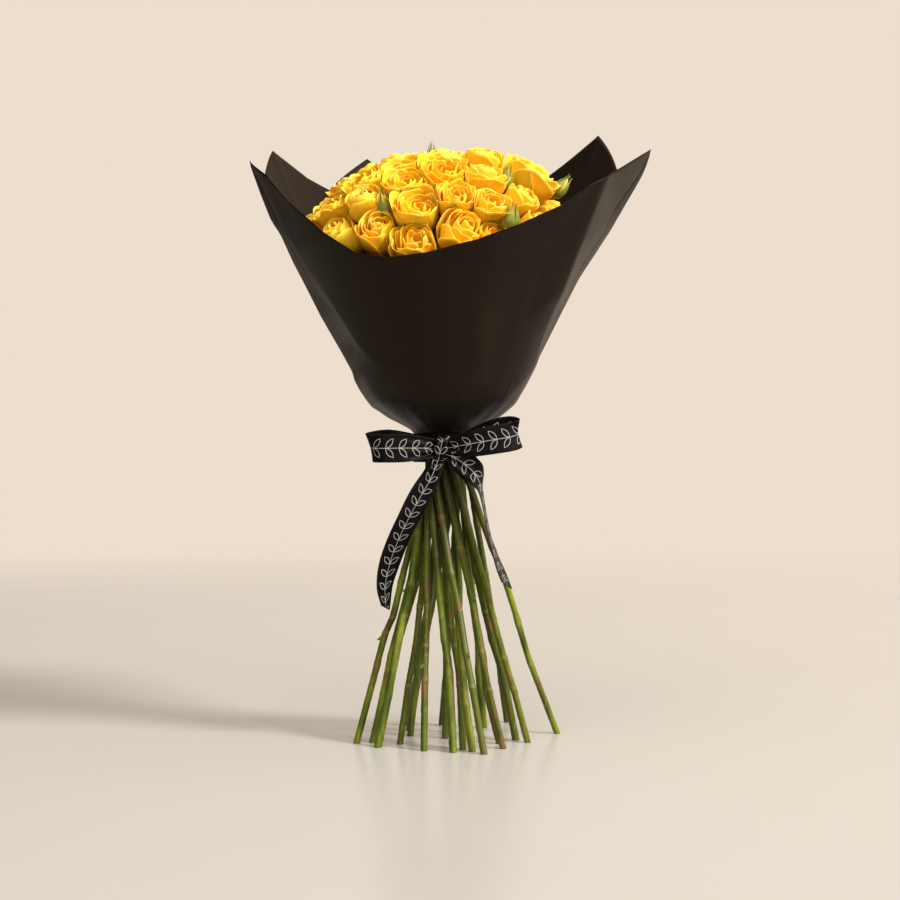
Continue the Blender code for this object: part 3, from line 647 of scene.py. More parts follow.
def ribbon_look():
    """Black satin with a white vine: a centre line and a pair of outlined leaves at each pitch."""
    look = new_look("ribbon_satin")
    along, across = look.values("run", "wide")
    side = abs(across)
    up = look.maths("FRACT", along / PITCH) * PITCH - PITCH * LEAF_START
    # along and across a leaf, whose outline is a pair of shallow bows
    cos, sin = math.cos(math.radians(LEAF_LEAN)), math.sin(math.radians(LEAF_LEAN))
    x = up * cos + side * sin
    y = side * cos - up * sin
    q = x * (2.0 / LEAF_LENGTH) - 1.0
    off = abs(abs(y) - (1.0 - q * q) * LEAF_HALF)
    outline = (look.span(off, STROKE * 0.45, STROKE * 0.95, 1.0, 0.0)
               * look.maths("LESS_THAN", abs(q), 1.06))
    line = look.span(side, STROKE * 0.40, STROKE * 0.85, 1.0, 0.0)
    vine = look.maths("MAXIMUM", outline, line)
    threads = look.node("ShaderNodeTexWave", {
        "Vector": look.together(across, along, 0.0), "Scale": 900.0, "Distortion": 0.6,
        "Detail": 1.0,
    }, "Fac", wave_type="BANDS", bands_direction="X")
    grain = look.noise(look.together(across * 3.0, along, 0.0), 500.0)
    hem = look.span(side, 0.0102, 0.0108)
    normal = look.bump(threads, 0.12, 0.0002)
    return look.surface({
        "Base Color": look.coats(
            look.mix(grain, (0.0016, 0.0016, 0.0018), (0.0040, 0.0041, 0.0046)),
            (hem * 0.6, (0.010, 0.010, 0.012)),
            (vine, (0.33, 0.33, 0.335))),
        "Roughness": vine * 0.12 + look.level(grain, 0.34, 0.44), "Specular IOR Level": 0.07,
        "Normal": look.bump(vine, 0.35, 0.00008, normal)})


def twine_look():
    """Natural jute twine with twisted fibres."""
    look = new_look("twine_jute")
    fibre = look.noise(look.stretch(look.place(), (1.0, 1.0, 3.0)), 500.0, 3.0, 0.6)
    return look.surface({
        "Base Color": look.mix(fibre, (0.200, 0.130, 0.065), (0.430, 0.310, 0.175)),
        "Roughness": look.level(fibre, 0.75, 0.95), "Normal": look.bump(fibre, 0.5, 0.0006)})


def floor_look():
    """Pale, slightly polished floor that fades out into the backdrop."""
    look = new_look("floor_pale")
    place = look.place()
    cloud = look.noise(place, 3.0, 4.0, 0.6)
    material = look.surface({
        "Base Color": look.mix(cloud, (0.418, 0.415, 0.422), (0.442, 0.439, 0.446)),
        "Roughness": 0.24, "Specular IOR Level": 0.35})
    away = look.node("ShaderNodeVectorMath", {0: place}, "Value", operation="LENGTH")
    look.blend("Material Output", look.span(away, 0.95, 2.9), look.present("Principled BSDF"),
               look.node("ShaderNodeBsdfTransparent", {}, 0))
    return material


# Flowers

PETAL_ROWS = 13
PETAL_COLS = (11, 15)
PETAL_THICK = 0.00034
FLARE = 1.17
PIVOT = 0.45
SKIRT = 1.05
GOLDEN_TURN = math.radians(137.508)
# Share of the way to a neighbour from which petals are pressed, and how near a neighbour counts
PRESS_FROM = 0.72
NEAR = 2.6
# Room kept inside the paper, and the depth over which petals are held back from it
PAPER_ROOM = 0.0058
PAPER_SOFT = 0.010
# Ways a rose stands open. Each gives, for the heart, the middle and the outside of the flower, the
# height of the rim, its radius and how far the cup bulges, then roll, curl and ruffle of the rims.
KINDS = (
    ("cup", (1.00, 0.99, 0.90), (0.08, 0.46, 0.95), (0.30, 0.78, 1.10), 0.55, 0.9, 0.5),
    ("goblet", (0.98, 1.02, 0.97), (0.07, 0.40, 0.86), (0.28, 0.74, 1.12), 0.80, 1.3, 0.4),
    ("bowl", (0.74, 0.86, 0.93), (0.12, 0.60, 1.06), (0.32, 0.84, 1.12), 0.70, 0.7, 0.6),
    ("full", (0.93, 0.97, 0.84), (0.10, 0.55, 1.02), (0.32, 0.80, 1.08), 0.80, 1.0, 0.9),
    ("ruffled", (0.86, 0.95, 0.88), (0.12, 0.60, 1.05), (0.34, 0.84, 1.10), 0.95, 1.1, 1.6),
)
# Petals of a flower, from and below, and how many more a large one has
PETALS = (16, 20)
LARGE_FLOWER, MORE_PETALS = 0.018, 2
# How far flowers nod out of line, and petals stray from the golden turn
NOD, TURN_STRAY = 0.11, 0.24
# Flowers that show best from the front, and how they stand open there
KIND_OF = {
    1: 1, 3: 2, 4: 3, 5: 4, 7: 3, 8: 0, 9: 0, 12: 0, 13: 4, 25: 4, 29: 4, 31: 3, 33: 3,
}
# Flowers that stand a little deeper than their solids, down on the rim of the paper
SUNK = {0: 0.0035, 12: 0.0055, 2: 0.002}


def through(three, t):
    """Value at t of the curve through its values for 0, 0.5 and 1."""
    a, b, c = three
    return a + (4 * b - 3 * a - c) * t + 2 * (a - 2 * b + c) * t * t


def petal_mid(draw, t, turn, hand, kind, open_by):
    """Mid points of one petal in flower units: x and y over the radius, z over the height."""
    _, tops, rims, bulges, roll_by, curl_by, ruffle_by = kind
    v = np.linspace(0, 1, PETAL_ROWS)[:, None] ** 0.88
    u = np.linspace(-1, 1, PETAL_COLS[t > 0.35])[None, :]
    wave_a, wave_b, wave_c = draw.uniform(0, 2 * math.pi, 3)
    # outline: a broad, nearly level top that falls away at the sides, at times with a soft point
    point = draw.uniform(0.0, 1.0) ** 2
    side_drop = draw.uniform(0.20, 0.30) * np.abs(u) ** (4.2 - 1.8 * point)
    notch = 0.012 * np.sin(1.7 * math.pi * u + wave_a) + 0.007 * np.sin(4.3 * math.pi * u + wave_b)
    s = v * (1 - side_drop + notch * (0.3 + 0.7 * t) * (0.6 + ruffle_by))
    # meridian, from a tight inner scroll to the outer cup
    top = through(tops, t) + draw.uniform(-0.065, 0.045) - 0.5 * max(0.0, open_by) * 0.06 * t
    loose = max(0.0, draw.normal(0, 1)) * (0.05 + 0.06 * open_by) * t ** 2
    rim = through(rims, t) + open_by * 0.07 * t + loose
    bulge = through(bulges, t)
    r_points = (0.05 + 0.05 * t, 0.10 + 0.62 * t ** 0.9, bulge, rim)
    z_points = (0.24 * (1 - t) + 0.02, 0.30 * (1 - t) + 0.02 * t, 0.70 - 0.32 * t, top)
    r = bezier(r_points, s)
    z = bezier(z_points, s)
    # rolled rim
    roll = roll_by * (0.20 + 0.80 * t) * draw.uniform(0.45, 1.45)
    lip = np.clip((s - 0.74) / 0.26, 0, 1.2)
    r = r + 0.15 * roll * lip ** 2
    z = z - 0.11 * roll * lip ** 3
    # upper corners that curl out and leave a point between them
    curl = curl_by * draw.uniform(0.2, 1.2) * (0.25 + 0.75 * t)
    edge = np.clip((np.abs(u + 0.18 * math.sin(wave_c)) - 0.42) / 0.58, 0, 1.2)
    high = smooth_step(0.40, 0.98, s)
    r = r + 0.15 * curl * edge ** 2 * high
    z = z - 0.055 * curl * edge ** 2 * high
    # slow waves along the rim, and a soft dent or two in the blade
    waves = np.sin(1.35 * math.pi * u + wave_b) + 0.45 * np.sin(2.9 * math.pi * u + wave_a)
    r = r + ruffle_by * (0.014 + 0.028 * t) * waves * smooth_step(0.45, 1.0, v)
    z = z + ruffle_by * 0.022 * np.cos(1.9 * math.pi * u + wave_a) * smooth_step(0.5, 1.0, v)
    dent = np.sin(1.2 * math.pi * u + wave_c)
    r = r + 0.014 * (0.3 + t) * dent * np.sin(2.3 * math.pi * v + wave_a)
    # one side of the petal laps over its neighbour, the other tucks under
    r = r + hand * (0.034 + 0.016 * (1 - t)) * u * smooth_step(0.0, 0.5, v)
    # width of the petal turned into an angle round the flower
    taper = 0.28 + 0.72 * smooth_step(0.0, 0.60, v)
    width = (0.62 + 1.28 * t) * taper * draw.uniform(0.92, 1.10)
    angle = np.minimum(width / np.maximum(2 * r, 0.18), 2.35 - 1.30 * t)
    return r, z, turn + u * angle, u, v, s


def press(points, centre, walls):
    """Presses a flower softly against the planes that part it from its neighbours."""
    for normal, reach in walls:
        x = (points - centre) @ normal
        start = reach * PRESS_FROM
        room = reach - start
        over = np.maximum(x - start, 0.0)
        moved = start + room * np.tanh(over / room)
        points = points + np.where(x > start, moved - x, 0.0)[..., None] * normal
    return points


def wrapped(bearing):
    return (bearing + 180.0) % 360.0 - 180.0


def cone_radius(plan, bearing, z):
    """Radius of the plain cone of paper, with the shape that a plan gives it from above."""
    blend = np.clip((z - PLAN_LOW_Z) / (PLAN_FULL_Z - PLAN_LOW_Z), 0.0, 1.0)
    return read_table(PAPER_PROFILE, z) * (1.0 + (read_table(plan, bearing) - 1.0) * blend)


def keep_in_paper(points):
    lean = read_table(PAPER_LEAN, points[..., 2])
    x, y = points[..., 0] - lean, points[..., 1]
    radius = np.hypot(x, y)
    bearing = wrapped(np.degrees(np.arctan2(x, -y)))
    start = cone_radius(PAPER_PLAN, bearing, points[..., 2]) - PAPER_ROOM - PAPER_SOFT
    over = np.maximum(radius - start, 0.0)
    held = start + PAPER_SOFT * np.tanh(over / PAPER_SOFT)
    scale = np.where(radius > start, held / np.maximum(radius, 1e-6), 1.0)
    points = points.copy()
    points[..., 0] = x * scale + lean
    points[..., 1] = y * scale
    return points


def lean_of(face, radius, sink=0.0):
    """Base, heading and height of a flower; the lower ones lift their faces over the paper."""
    face = face - UP * sink
    axis = bloom_frame(face)[0]
    height = bloom_height(radius)
    tilt = math.acos(min(1.0, axis[2]))
    less = tilt * 0.30 * float(smooth_step(math.radians(25), math.radians(80), tilt))
    flat = unit(axis * (1, 1, 0) + np.array((1e-9, 0, 0)))
    tip = math.sin(tilt - less) * flat + math.cos(tilt - less) * UP
    base = face + axis * height * (PIVOT - FACE_AT) - tip * height * (PIVOT + SKIRT * less)
    return base, tip, height * (1 + SKIRT * less)


def add_flower(shape, face, radius, seed, walls):
    draw = np.random.default_rng(FLOWER_SEED + seed)
    base, tip, height = lean_of(face, radius, SUNK.get(seed, 0.0))
    tip = unit(tip + NOD * draw.normal(0, 1, 3))
    side = unit(np.cross((0.13, 0.21, 0.97), tip))
    across = np.cross(tip, side)
    wide = radius * FLARE
    kind = KINDS[KIND_OF.get(seed, draw.integers(len(KINDS)))]
    open_by = draw.uniform(-1, 1)
    hand = draw.choice((-1, 1))
    start = draw.uniform(0, 2 * math.pi)
    tone = draw.uniform(0.0, 1.0)
    count = int(draw.integers(*PETALS)) + (MORE_PETALS if radius > LARGE_FLOWER else 0)
    for k in range(count):
        t = (k / (count - 1)) ** 0.95
        turn = start + hand * k * GOLDEN_TURN + draw.uniform(-TURN_STRAY, TURN_STRAY)
        r, z, a, u, v, s = petal_mid(draw, t, turn, hand, kind, open_by)
        points = (base + (z * height)[..., None] * tip + (r * wide * np.cos(a))[..., None] * side
                  + (r * wide * np.sin(a))[..., None] * across)
        points = keep_in_paper(press(points, face, walls))
        add_sheet(shape, points, PETAL_THICK * (1.30 - 0.60 * v), along=np.clip(s, 0, 1),
                  rim=np.maximum(v, np.abs(u) ** 3 * v), layer=t, across=u, tone=tone)


def neighbour_walls(faces, radii, count):
    """For each flower, the planes between it and every near flower or bud."""
    walls = []
    for i in range(count):
        mine = []
        for j, face in enumerate(faces):
            apart = face - faces[i]
            far = np.linalg.norm(apart)
            both = radii[i] + radii[j]
            if i != j and far <= NEAR * both:
                mine.append((apart / far, far * radii[i] / both))
        walls.append(mine)
    return walls


# Stems

def stem_line(seed, foot, waist):
    """Key points of the stem: its foot, nodes with small kinks, and the straight top."""
    draw = np.random.default_rng(KINK_SEED + seed)
    path = [np.array((foot[0], foot[1], 0.0))]
    nodes = []
    for z in NODE_HEIGHTS:
        node = z + draw.uniform(-NODE_STRAY, NODE_STRAY)
        fade = min(1.0, max(0.0, (KINK_TOP_Z - node) / KINK_FADE))
        kink = draw.uniform(-1, 1, 2) * NODE_KINK * fade
        for height in (node, node + KINK_LENGTH):
            xy = foot + (waist - foot) * height / WAIST_Z + kink
            path.append(np.array((xy[0], xy[1], height)))
        nodes.append(node)
    xy = foot + (waist - foot) * STRAIGHT_TOP_Z / WAIST_Z
    path.append(np.array((xy[0], xy[1], STRAIGHT_TOP_Z)))
    return path, nodes


def close_foot(bark, ring, tone):
    """Pale cut end of a stem, in an outer band and a middle."""
    middle = ring.mean(axis=0)
    inner = middle + (ring - middle) * 0.80
    sides = len(ring)
    k = np.arange(sides)
    n = (k + 1) % sides
    bark.add(np.vstack((ring, inner)), np.stack((n, k, k + sides, n + sides), axis=-1),
             cut=1.0, tone=tone)
    bark.add(np.vstack((inner, middle)), cap_faces(sides), cut=1.0, tone=tone)


def add_spur(shape, stem, height, heading, steps, half, tall, **values):
    """Swelling or thorn on a stem. A step gives how far it stands out and up, and its size."""
    path, _ = stem
    centre = np.array([np.interp(height, path[:, 2], path[:, k]) for k in range(3)])
    out = np.array((math.cos(heading), math.sin(heading), 0.0))
    side = np.array((-out[1], out[0], 0.0))
    a = 2 * math.pi * np.arange(SPUR_SIDES) / SPUR_SIDES
    rings = [centre + out * reach + UP * rise
             + (half * w * np.cos(a))[:, None] * side + (tall * w * np.sin(a))[:, None] * UP
             for reach, rise, w in steps]
    add_tube(shape, np.array(rings), **values)


def add_knob(shape, stem, height, heading, out_size, half, tall, **values):
    """Low, pointed swelling on the side of a stem."""
    girth = float(np.interp(height, stem[0][:, 2], stem[1]))
    steps = [(girth * 0.80 + out_size * 1.3 * f, tall * 0.35 * f, w)
             for f, w in ((0.0, 1.0), (0.45, 0.86), (0.80, 0.55), (0.97, 0.22))]
    add_spur(shape, stem, height, heading, steps, half, tall, **values)


def add_thorn(shape, stem, height, heading, tone):
    """Short thorn that points a little down."""
    girth = float(np.interp(height, stem[0][:, 2], stem[1]))
    reach = np.linspace(0, 1, 7)
    steps = [(girth * 0.75 + (THORN_LENGTH + girth * 0.25) * f, -0.0012 * f ** 1.6,
              (1 - f) ** 1.3 + 0.03) for f in reach]
    add_spur(shape, stem, height, heading, steps, 0.0011, 0.0024, node=0.3 + 0.6 * reach, tone=tone)


def add_stem(bark, leaf, s, foot, waist, faces, radii, buds):
    """A stem with its nodes, thorns and side shoots, and the hip and sepals of each flower."""
    radius = STEM_RADII[s % len(STEM_RADII)]
    key, nodes = stem_line(s, foot, waist)
    rise = unit(key[-1] - key[-2])
    mean = np.mean([lean_of(f, r)[0] for f, r in zip(faces, radii)], axis=0)
    level = key[-1] + rise * FORK_RISE
    fork = level + (mean - level) * FORK_SHARE
    key.append(fork)
    key = np.array(key)
    z = np.concatenate(([0.0, 0.0004, 0.0012], np.arange(0.003, TIE_Z - 0.0001, STEM_STEP),
                        np.arange(TIE_Z, fork[2], TIE_STEP), [fork[2]]))
    path = np.stack([np.interp(z, key[:, 2], key[:, k]) for k in range(2)] + [z], axis=1)
    for _ in range(2):
        path[3:-1, :2] = 0.25 * path[2:-2, :2] + 0.5 * path[3:-1, :2] + 0.25 * path[4:, :2]
    draw = np.random.default_rng(STEM_SEED + s)
    tone = draw.random()
    rings_at = sorted(nodes + [n + draw.uniform(0.022, 0.034) for n in nodes if n < 0.15])
    swell, mark = np.zeros(len(z)), np.zeros(len(z))
    for n in rings_at:
        gap = z - n
        swell += (draw.uniform(0.06, 0.13) * np.exp(-(gap / 0.0034) ** 2)
                  * (1 + 0.4 * np.tanh(-gap / 0.002)))
        mark += np.exp(-((gap - 0.0004) / 0.0008) ** 2)
    # bends from node to node
    bends = [n for n in rings_at if n < 0.145]
    shift = np.vstack(((0, 0), draw.uniform(-STEM_BEND, STEM_BEND, (len(bends), 2)), (0, 0)))
    bends = [0.0] + bends + [0.170]
    for k in range(2):
        path[:, k] += np.interp(z, bends, shift[:, k])
    girth = draw.uniform(0.86, 1.03)
    girth += (1.0 - girth) * smooth_step(0.15, 0.20, z)
    widths = radius * (1.02 + swell) * girth * (1 - 0.18 * smooth_step(0.20, 0.34, z))
    widths[0] *= 0.94
    rings = tube_points(path, widths, STEM_SIDES, turn=draw.uniform(0, 6), level=True)
    lump = draw.normal(0, STEM_LUMP, rings.shape[:2])
    out = rings - rings.mean(axis=1)[:, None, :]
    out = out / (np.linalg.norm(out, axis=-1)[..., None] + 1e-9) * lump[..., None]
    rings[1:] = rings[1:] + out[1:]
    # high carries painted shade: the bark darkens up towards the tie
    add_tube(bark, rings, caps=(False, True), node=np.clip(mark, 0, 1), tone=tone,
             high=smooth_step(0.115, 0.222, z))
    close_foot(bark, rings[0], tone)

    stem = path, widths
    for height in rings_at:
        heading = draw.uniform(0, 2 * math.pi)
        size = draw.uniform(0.55, 1.0)
        add_knob(bark, stem, height, heading, 0.0007 * size, 0.0016 * size, 0.0022 * size,
                 tone=tone, node=0.4)
    thorns = np.random.default_rng(THORN_SEED + s)
    away = math.atan2(key[1][1], key[1][0])
    for height in THORN_HEIGHTS:
        heading = away + thorns.uniform(-0.8, 0.8)
        height = height + thorns.uniform(-0.01, 0.01)
        if draw.random() < 0.3:
            add_thorn(bark, stem, height, heading, tone)
        else:
            add_knob(bark, stem, height, heading, 0.0003, 0.0010, 0.0020, tone=tone, node=1.4)

    lean = unit(fork - key[-2])
    root = fork - lean * 0.004

    def add_shoot(end, axis, thick):
        line = curve(root, lean, end, axis, 10)
        add_tube(bark, tube_points(line, np.full(len(line), thick), SHOOT_SIDES), tone=tone)

    steps = np.linspace(0, 1, 9)
    bulge = HIP_RADIUS * (0.40 + 0.62 * np.sin(np.clip(steps * 1.05, 0, 1) * math.pi * 0.62))
    for f, r in zip(faces, radii):
        seat, axis, _ = lean_of(f, r)
        add_shoot(seat - axis * HIP_HEIGHT, axis, SHOOT_RADIUS)
        hip = seat - axis * HIP_HEIGHT * 1.02 + steps[:, None] * axis * HIP_HEIGHT * 1.12
        add_tube(leaf, tube_points(hip, bulge, HIP_SIDES), along=0.2 * steps, tone=tone)
        draw = np.random.default_rng(int(1e6 * abs(f[0])) + s)
        add_sepals(leaf, seat - axis * 0.0006, axis, draw)
    for tip, axis in buds:
        add_shoot(tip - axis * BUD_LENGTH, axis, SHOOT_RADIUS * 0.85)


def add_sepals(shape, base, axis, draw):
    """Five narrow sepals that spring from the top of a hip."""
    open_angle, tone = draw.uniform(1.15, 1.9), draw.random()
    side = unit(np.cross(axis, SEPAL_HINT))
    across = np.cross(axis, side)
    start = draw.uniform(0, 2 * math.pi)
    v = np.linspace(0, 1, 8)[:, None]
    u = np.linspace(-1, 1, 5)[None, :]
    for k in range(SEPALS):
        a = start + 2 * math.pi * k / SEPALS + draw.uniform(-0.15, 0.15)
        reach = SEPAL_LENGTH * draw.uniform(0.85, 1.25)
        bend = open_angle + draw.uniform(-0.25, 0.25)
        out = math.cos(a) * side + math.sin(a) * across
        lean = bend * (0.35 + 0.65 * v)
        run = np.concatenate(([0.0], np.cumsum(np.sin(lean[1:, 0])))) / 7 * reach
        rise = np.concatenate(([0.0], np.cumsum(np.cos(lean[1:, 0])))) / 7 * reach
        half = SEPAL_WIDE * (0.45 + 1.1 * v) * (1 - v) ** 0.8 * 1.15 + 0.00008
        dish = -0.25 * SEPAL_WIDE * u ** 2 * (1 - v)
        points = (base + (HIP_RADIUS * 0.7 + run)[:, None, None] * out
                  + rise[:, None, None] * axis + (half * u)[..., None] * np.cross(axis, out)
                  + dish[..., None] * out)
        add_sheet(shape, points, SEPAL_THICK * (1.1 - 0.6 * v), along=v, rim=np.abs(u), tone=tone)


def add_bud(shape, petals, tip, axis, width, seed):
    """Closed bud: a yellow pointed cone held in five long sepals."""
    draw = np.random.default_rng(BUD_SEED + seed)
    base = tip - axis * BUD_LENGTH
    half = width / 2 * 1.12
    steps = np.linspace(0, 1, 12)
    body = base + steps[:, None] * axis * BUD_LENGTH * 0.88
    outline = read_table(BUD_OUTLINE, steps)
    add_tube(petals, tube_points(body, outline * half * 0.90, HIP_SIDES), along=0.35 + 0.5 * steps,
             rim=0.0, layer=0.6, across=0.0, tone=draw.random())
    hip = base + np.linspace(-0.06, 0.24, 7)[:, None] * axis * BUD_LENGTH
    hip_out = np.array((0.30, 0.52, 0.72, 0.86, 0.96, 1.0, 0.97)) * half * 0.96
    add_tube(shape, tube_points(hip, hip_out, HIP_SIDES), along=0.1, tone=0.4)
    side = unit(np.cross(axis, SEPAL_HINT))
    across = np.cross(axis, side)
    v = np.linspace(0, 1, 16)[:, None]
    u = np.linspace(-1, 1, 7)[None, :]
    start = draw.uniform(0, 2 * math.pi)
    for k in range(SEPALS):
        reach = draw.uniform(0.96, 1.14)
        height = 0.10 + (reach - 0.10) * v
        out = read_table(BUD_SEPAL, height)
        spread = 0.70 * (1 - v ** 1.7) + 0.03
        a = start + 2 * math.pi * k / SEPALS + u * spread * (0.9 + 0.1 * draw.random())
        flare = draw.uniform(-0.05, 0.35) * np.clip(v - 0.75, 0, 1) * 4 * 0.4
        r = half * (out + flare + 0.03 * (1 - np.abs(u)))
        points = (base + (height * BUD_LENGTH)[..., None] * axis
                  + (r * np.cos(a))[..., None] * side + (r * np.sin(a))[..., None] * across)
        add_sheet(shape, points, BUD_SEPAL_THICK * (1.1 - 0.5 * v), along=v, rim=np.abs(u),
                  tone=0.3)


# Wrapping paper

# Creases of the wrap: a letter for each column of corners and the number of its highest one, then
# the corners by bearing, height in mm and millimetres out of the plain cone
COLUMNS = (
    ("a", 1, (-112, 430, 0.0), (-112, 350, 0.0), (-112, 296, 0.0), (-112, 262, 0.0)),
    ("b", 0, (-95, 475, 0.0), (-94, 424, 1.0), (-94, 372, 0.4), (-94, 318, 0.2), (-90, 297, -0.5),
        (-90, 288, 1.6), (-88, 269, 2.8), (-88, 257, 1.0)),
    ("c", 1, (-67, 392, 1.0), (-61, 365, 1.0), (-55, 341, 1.0), (-50, 316, 1.2), (-41, 297, 1.6),
        (-33, 281, 0.8), (-30, 262, 0.2)),
    ("d", 1, (-46, 408, -0.4), (-39, 390, 1.0), (-37, 342, 0.4), (-22, 300, -0.3)),
    ("e", 1, (-12, 392, -0.5), (-8, 345, 0.4), (2, 296, -0.2), (0, 262, 0.4)),
    ("f", 1, (18, 408, 0.3), (20, 352, -0.4), (28, 306, 0.5), (24, 268, -0.2)),
    ("g", 1, (38, 432, -0.8), (41, 380, -1.0), (46, 336, -0.7), (50, 300, 0.3), (50, 272, 1.3),
        (40, 258, 0.3)),
    ("h", 1, (53, 448, 0.4), (55, 392, 5.0), (59, 356, 5.4), (67, 324, 0.2), (75, 301, 1.6),
        (78, 281, -0.4), (76, 260, 0.4)),
    ("i", 0, (86, 484, 0.0), (90, 456, 6.0), (91, 416, 0.8), (93, 373, -1.8), (93, 341, 0.6),
        (94, 305, -0.4), (94, 281, -1.6), (95, 262, 0.2)),
    ("j", 1, (116, 440, 0.2), (116, 380, 0.6), (116, 320, -0.4), (116, 268, 0.4)),
)
CORNERS = {letter + str(first + k): corner
           for letter, first, *corners in COLUMNS for k, corner in enumerate(corners)}
# Facets between those corners, as strips. A strip starts with a corner on its left and one on its
# right side, and each further one makes a facet with the last of both sides.
STRIPS = (
    "a1 b0 b1 b2 a2 b3 a3 b4 b5 b6 a4 b7",
    "b0 d1 b1 c1 b2 c2 c3 b3 c4 b4 c5 b5 c6 b6 c7 b7",
    "c1 d1 d2 c2 d3 c3 c4 d4 c5 c6 e4 c7",
    "d1 e1 d2 e2 d3 d4 e3 e4",
    "e1 f1 f2 e2 f3 e3 f4 e4",
    "f1 g1 g2 f2 g3 f3 g4 g5 f4 g6 e4",
    "g1 h1 g2 h2 h3 g3 h4 g4 h5 g5 h6 h7 g6",
    "h1 i0 i1 i2 h2 i3 h3 i4 h4 i5 h5 i6 h6 i7 h7",
    "i0 j1 i1 i2 j2 i3 i4 j3 i5 i6 j4 i7",
)
# Rows of facets that lie flat between their corners, how flat, and from where up
FLAT_ROWS = ({"h", "i"}, {"b", "c"}, {"i", "j"}, {"a", "b"})
FLATNESS = 0.90
FLAT_FROM, FLAT_FULL = 0.288, 0.325
MAIN_CREASES = ("c1 c2 c3 c4 c5 c6", "h1 h2 h3 h4 h5", "h1 i2", "h2 i2", "h3 i3", "b4 b5 b6")
CREASE_WIDTH = 1.6
GATHERS = 19
PLAIN_PLAN = (
    (-180, 0.995), (-150, 0.985), (-120, 0.970), (-90, 0.988), (-75, 0.968), (-58, 0.994),
    (0, 1.000), (55, 0.998), (80, 0.980), (90, 0.985), (118, 0.970), (132, 0.945),
    (150, 0.980), (180, 0.995),
)


def corner_point(name):
    bearing, height, out = CORNERS[name]
    z = height / MM
    return around(bearing, float(cone_radius(PLAIN_PLAN, bearing, z)) + out / MM, z)


def facets():
    """Facets of the wrap, each by its three corners."""
    for strip in STRIPS:
        left, right, *rest = strip.split()
        for corner in rest:
            yield left, right, corner
            if corner[0] == left[0]:
                left = corner
            else:
                right = corner


def creased_radius(bearing, z):
    """Radius of the creased paper, and how near a main crease each point is."""
    wrap = wrapped(bearing)
    radius = cone_radius(PLAIN_PLAN, wrap, z)
    flat = radius.copy()
    share = np.zeros_like(radius)
    px, py = wrap, z * MM
    for names in facets():
        (x0, y0, h0), (x1, y1, h1), (x2, y2, h2) = (CORNERS[name] for name in names)
        area = (x1 - x0) * (y2 - y0) - (x2 - x0) * (y1 - y0)
        b = ((px - x0) * (y2 - y0) - (x2 - x0) * (py - y0)) / area
        c = ((x1 - x0) * (py - y0) - (px - x0) * (y1 - y0)) / area
        a = 1 - b - c
        inside = (a >= 0) & (b >= 0) & (c >= 0)
        radius = np.where(inside, radius + (a * h0 + b * h1 + c * h2) / MM, radius)
        if {name[0] for name in names} in FLAT_ROWS:
            # radius at which the line out from the axis meets the plane of the three corners
            p0, p1, p2 = (corner_point(name) for name in names)
            normal = np.cross(p1 - p0, p2 - p0)
            rise = (normal.dot(p0) - normal[2] * z) / (around(wrap, 1.0, 0.0 * z) @ normal)
            flat = np.where(inside, rise, flat)
            share = np.where(inside, FLATNESS * smooth_step(FLAT_FROM, FLAT_FULL, z), share)
    radius = radius + share * (flat - radius)
    near = np.zeros_like(radius)
    for line in MAIN_CREASES:
        ends = [CORNERS[name] for name in line.split()]
        for (x0, y0, _), (x1, y1, _) in zip(ends, ends[1:]):
            dx, dy = (x1 - x0) * 2.0, y1 - y0
            ux, uy = (px - x0) * 2.0, py - y0
            t = np.clip((ux * dx + uy * dy) / (dx * dx + dy * dy), 0, 1)
            off = (ux - t * dx) ** 2 + (uy - t * dy) ** 2
            near = np.maximum(near, np.exp(-off / CREASE_WIDTH ** 2))
    # soft buckles round the back, and gathers that run up out of the neck
    a = np.radians(wrap)
    back = smooth_step(100.0, 140.0, np.abs(wrap)) * smooth_step(0.27, 0.36, z)
    out = back * (1.1 * np.sin(5 * a + 9 * z / 0.2) + 0.8 * np.abs(np.sin(3.5 * a + 1.3))
                  - 1.0 - 1.5 * smooth_step(0.43, 0.48, z))
    pull = np.exp(-((z - 0.262) / 0.016) ** 2)
    round_by = wrap / 360.0 * GATHERS + 0.35 * np.sin(2.3 * a) + 0.2 * np.sin(5.1 * a + 1.0)
    out = out + pull * (1.9 * np.abs(round_by % 1.0 - 0.5) - 0.45)
    return radius + out / MM, near


def paper_points(bearing, z, depth):
    """Points on the wrap, sunk below its outer face by a depth measured square to the paper."""
    radius, near = creased_radius(bearing, z)
    radius[1:-1] = (radius[:-2] + 2 * radius[1:-1] + radius[2:]) / 4
    radius[:, 1:-1] = (radius[:, :-2] + 2 * radius[:, 1:-1] + radius[:, 2:]) / 4
    slope = (read_table(PAPER_PROFILE, z + 0.002) - read_table(PAPER_PROFILE, z - 0.002)) / 0.004
    size = np.hypot(1.0, slope)
    points = around(bearing, radius - depth / size, z + depth * slope / size)
    points[..., 0] += read_table(PAPER_LEAN, z)
    return points, near


def paper_sheet(name, edge, depth, material):
    bearings = np.arange(edge[0][0], edge[-1][0] + 0.01, 1.0)
    rise = np.linspace(0, 1, PAPER_ROWS)[:, None]
    z = PAPER_LOW_Z + (read_table(edge, bearings)[None, :] - PAPER_LOW_Z) * rise
    mid, near = paper_points(bearings[None, :] + 0 * z, z, depth + PAPER_THICK / 2)
    shape = Shape("crease")
    add_sheet(shape, mid, PAPER_SHEET_THICK, crease=near)
    return shape.build(name, material)


# Ribbon

WAIST_BAND = 0.0253
RIBBON_COLS = 19
RIBBON_WIDTH = 0.0225
RIBBON_THICK = 0.00040
PLEAT_DEPTH = 0.0034
KNOT_CENTRE = np.array((-0.0035, -0.0318, 0.2335))
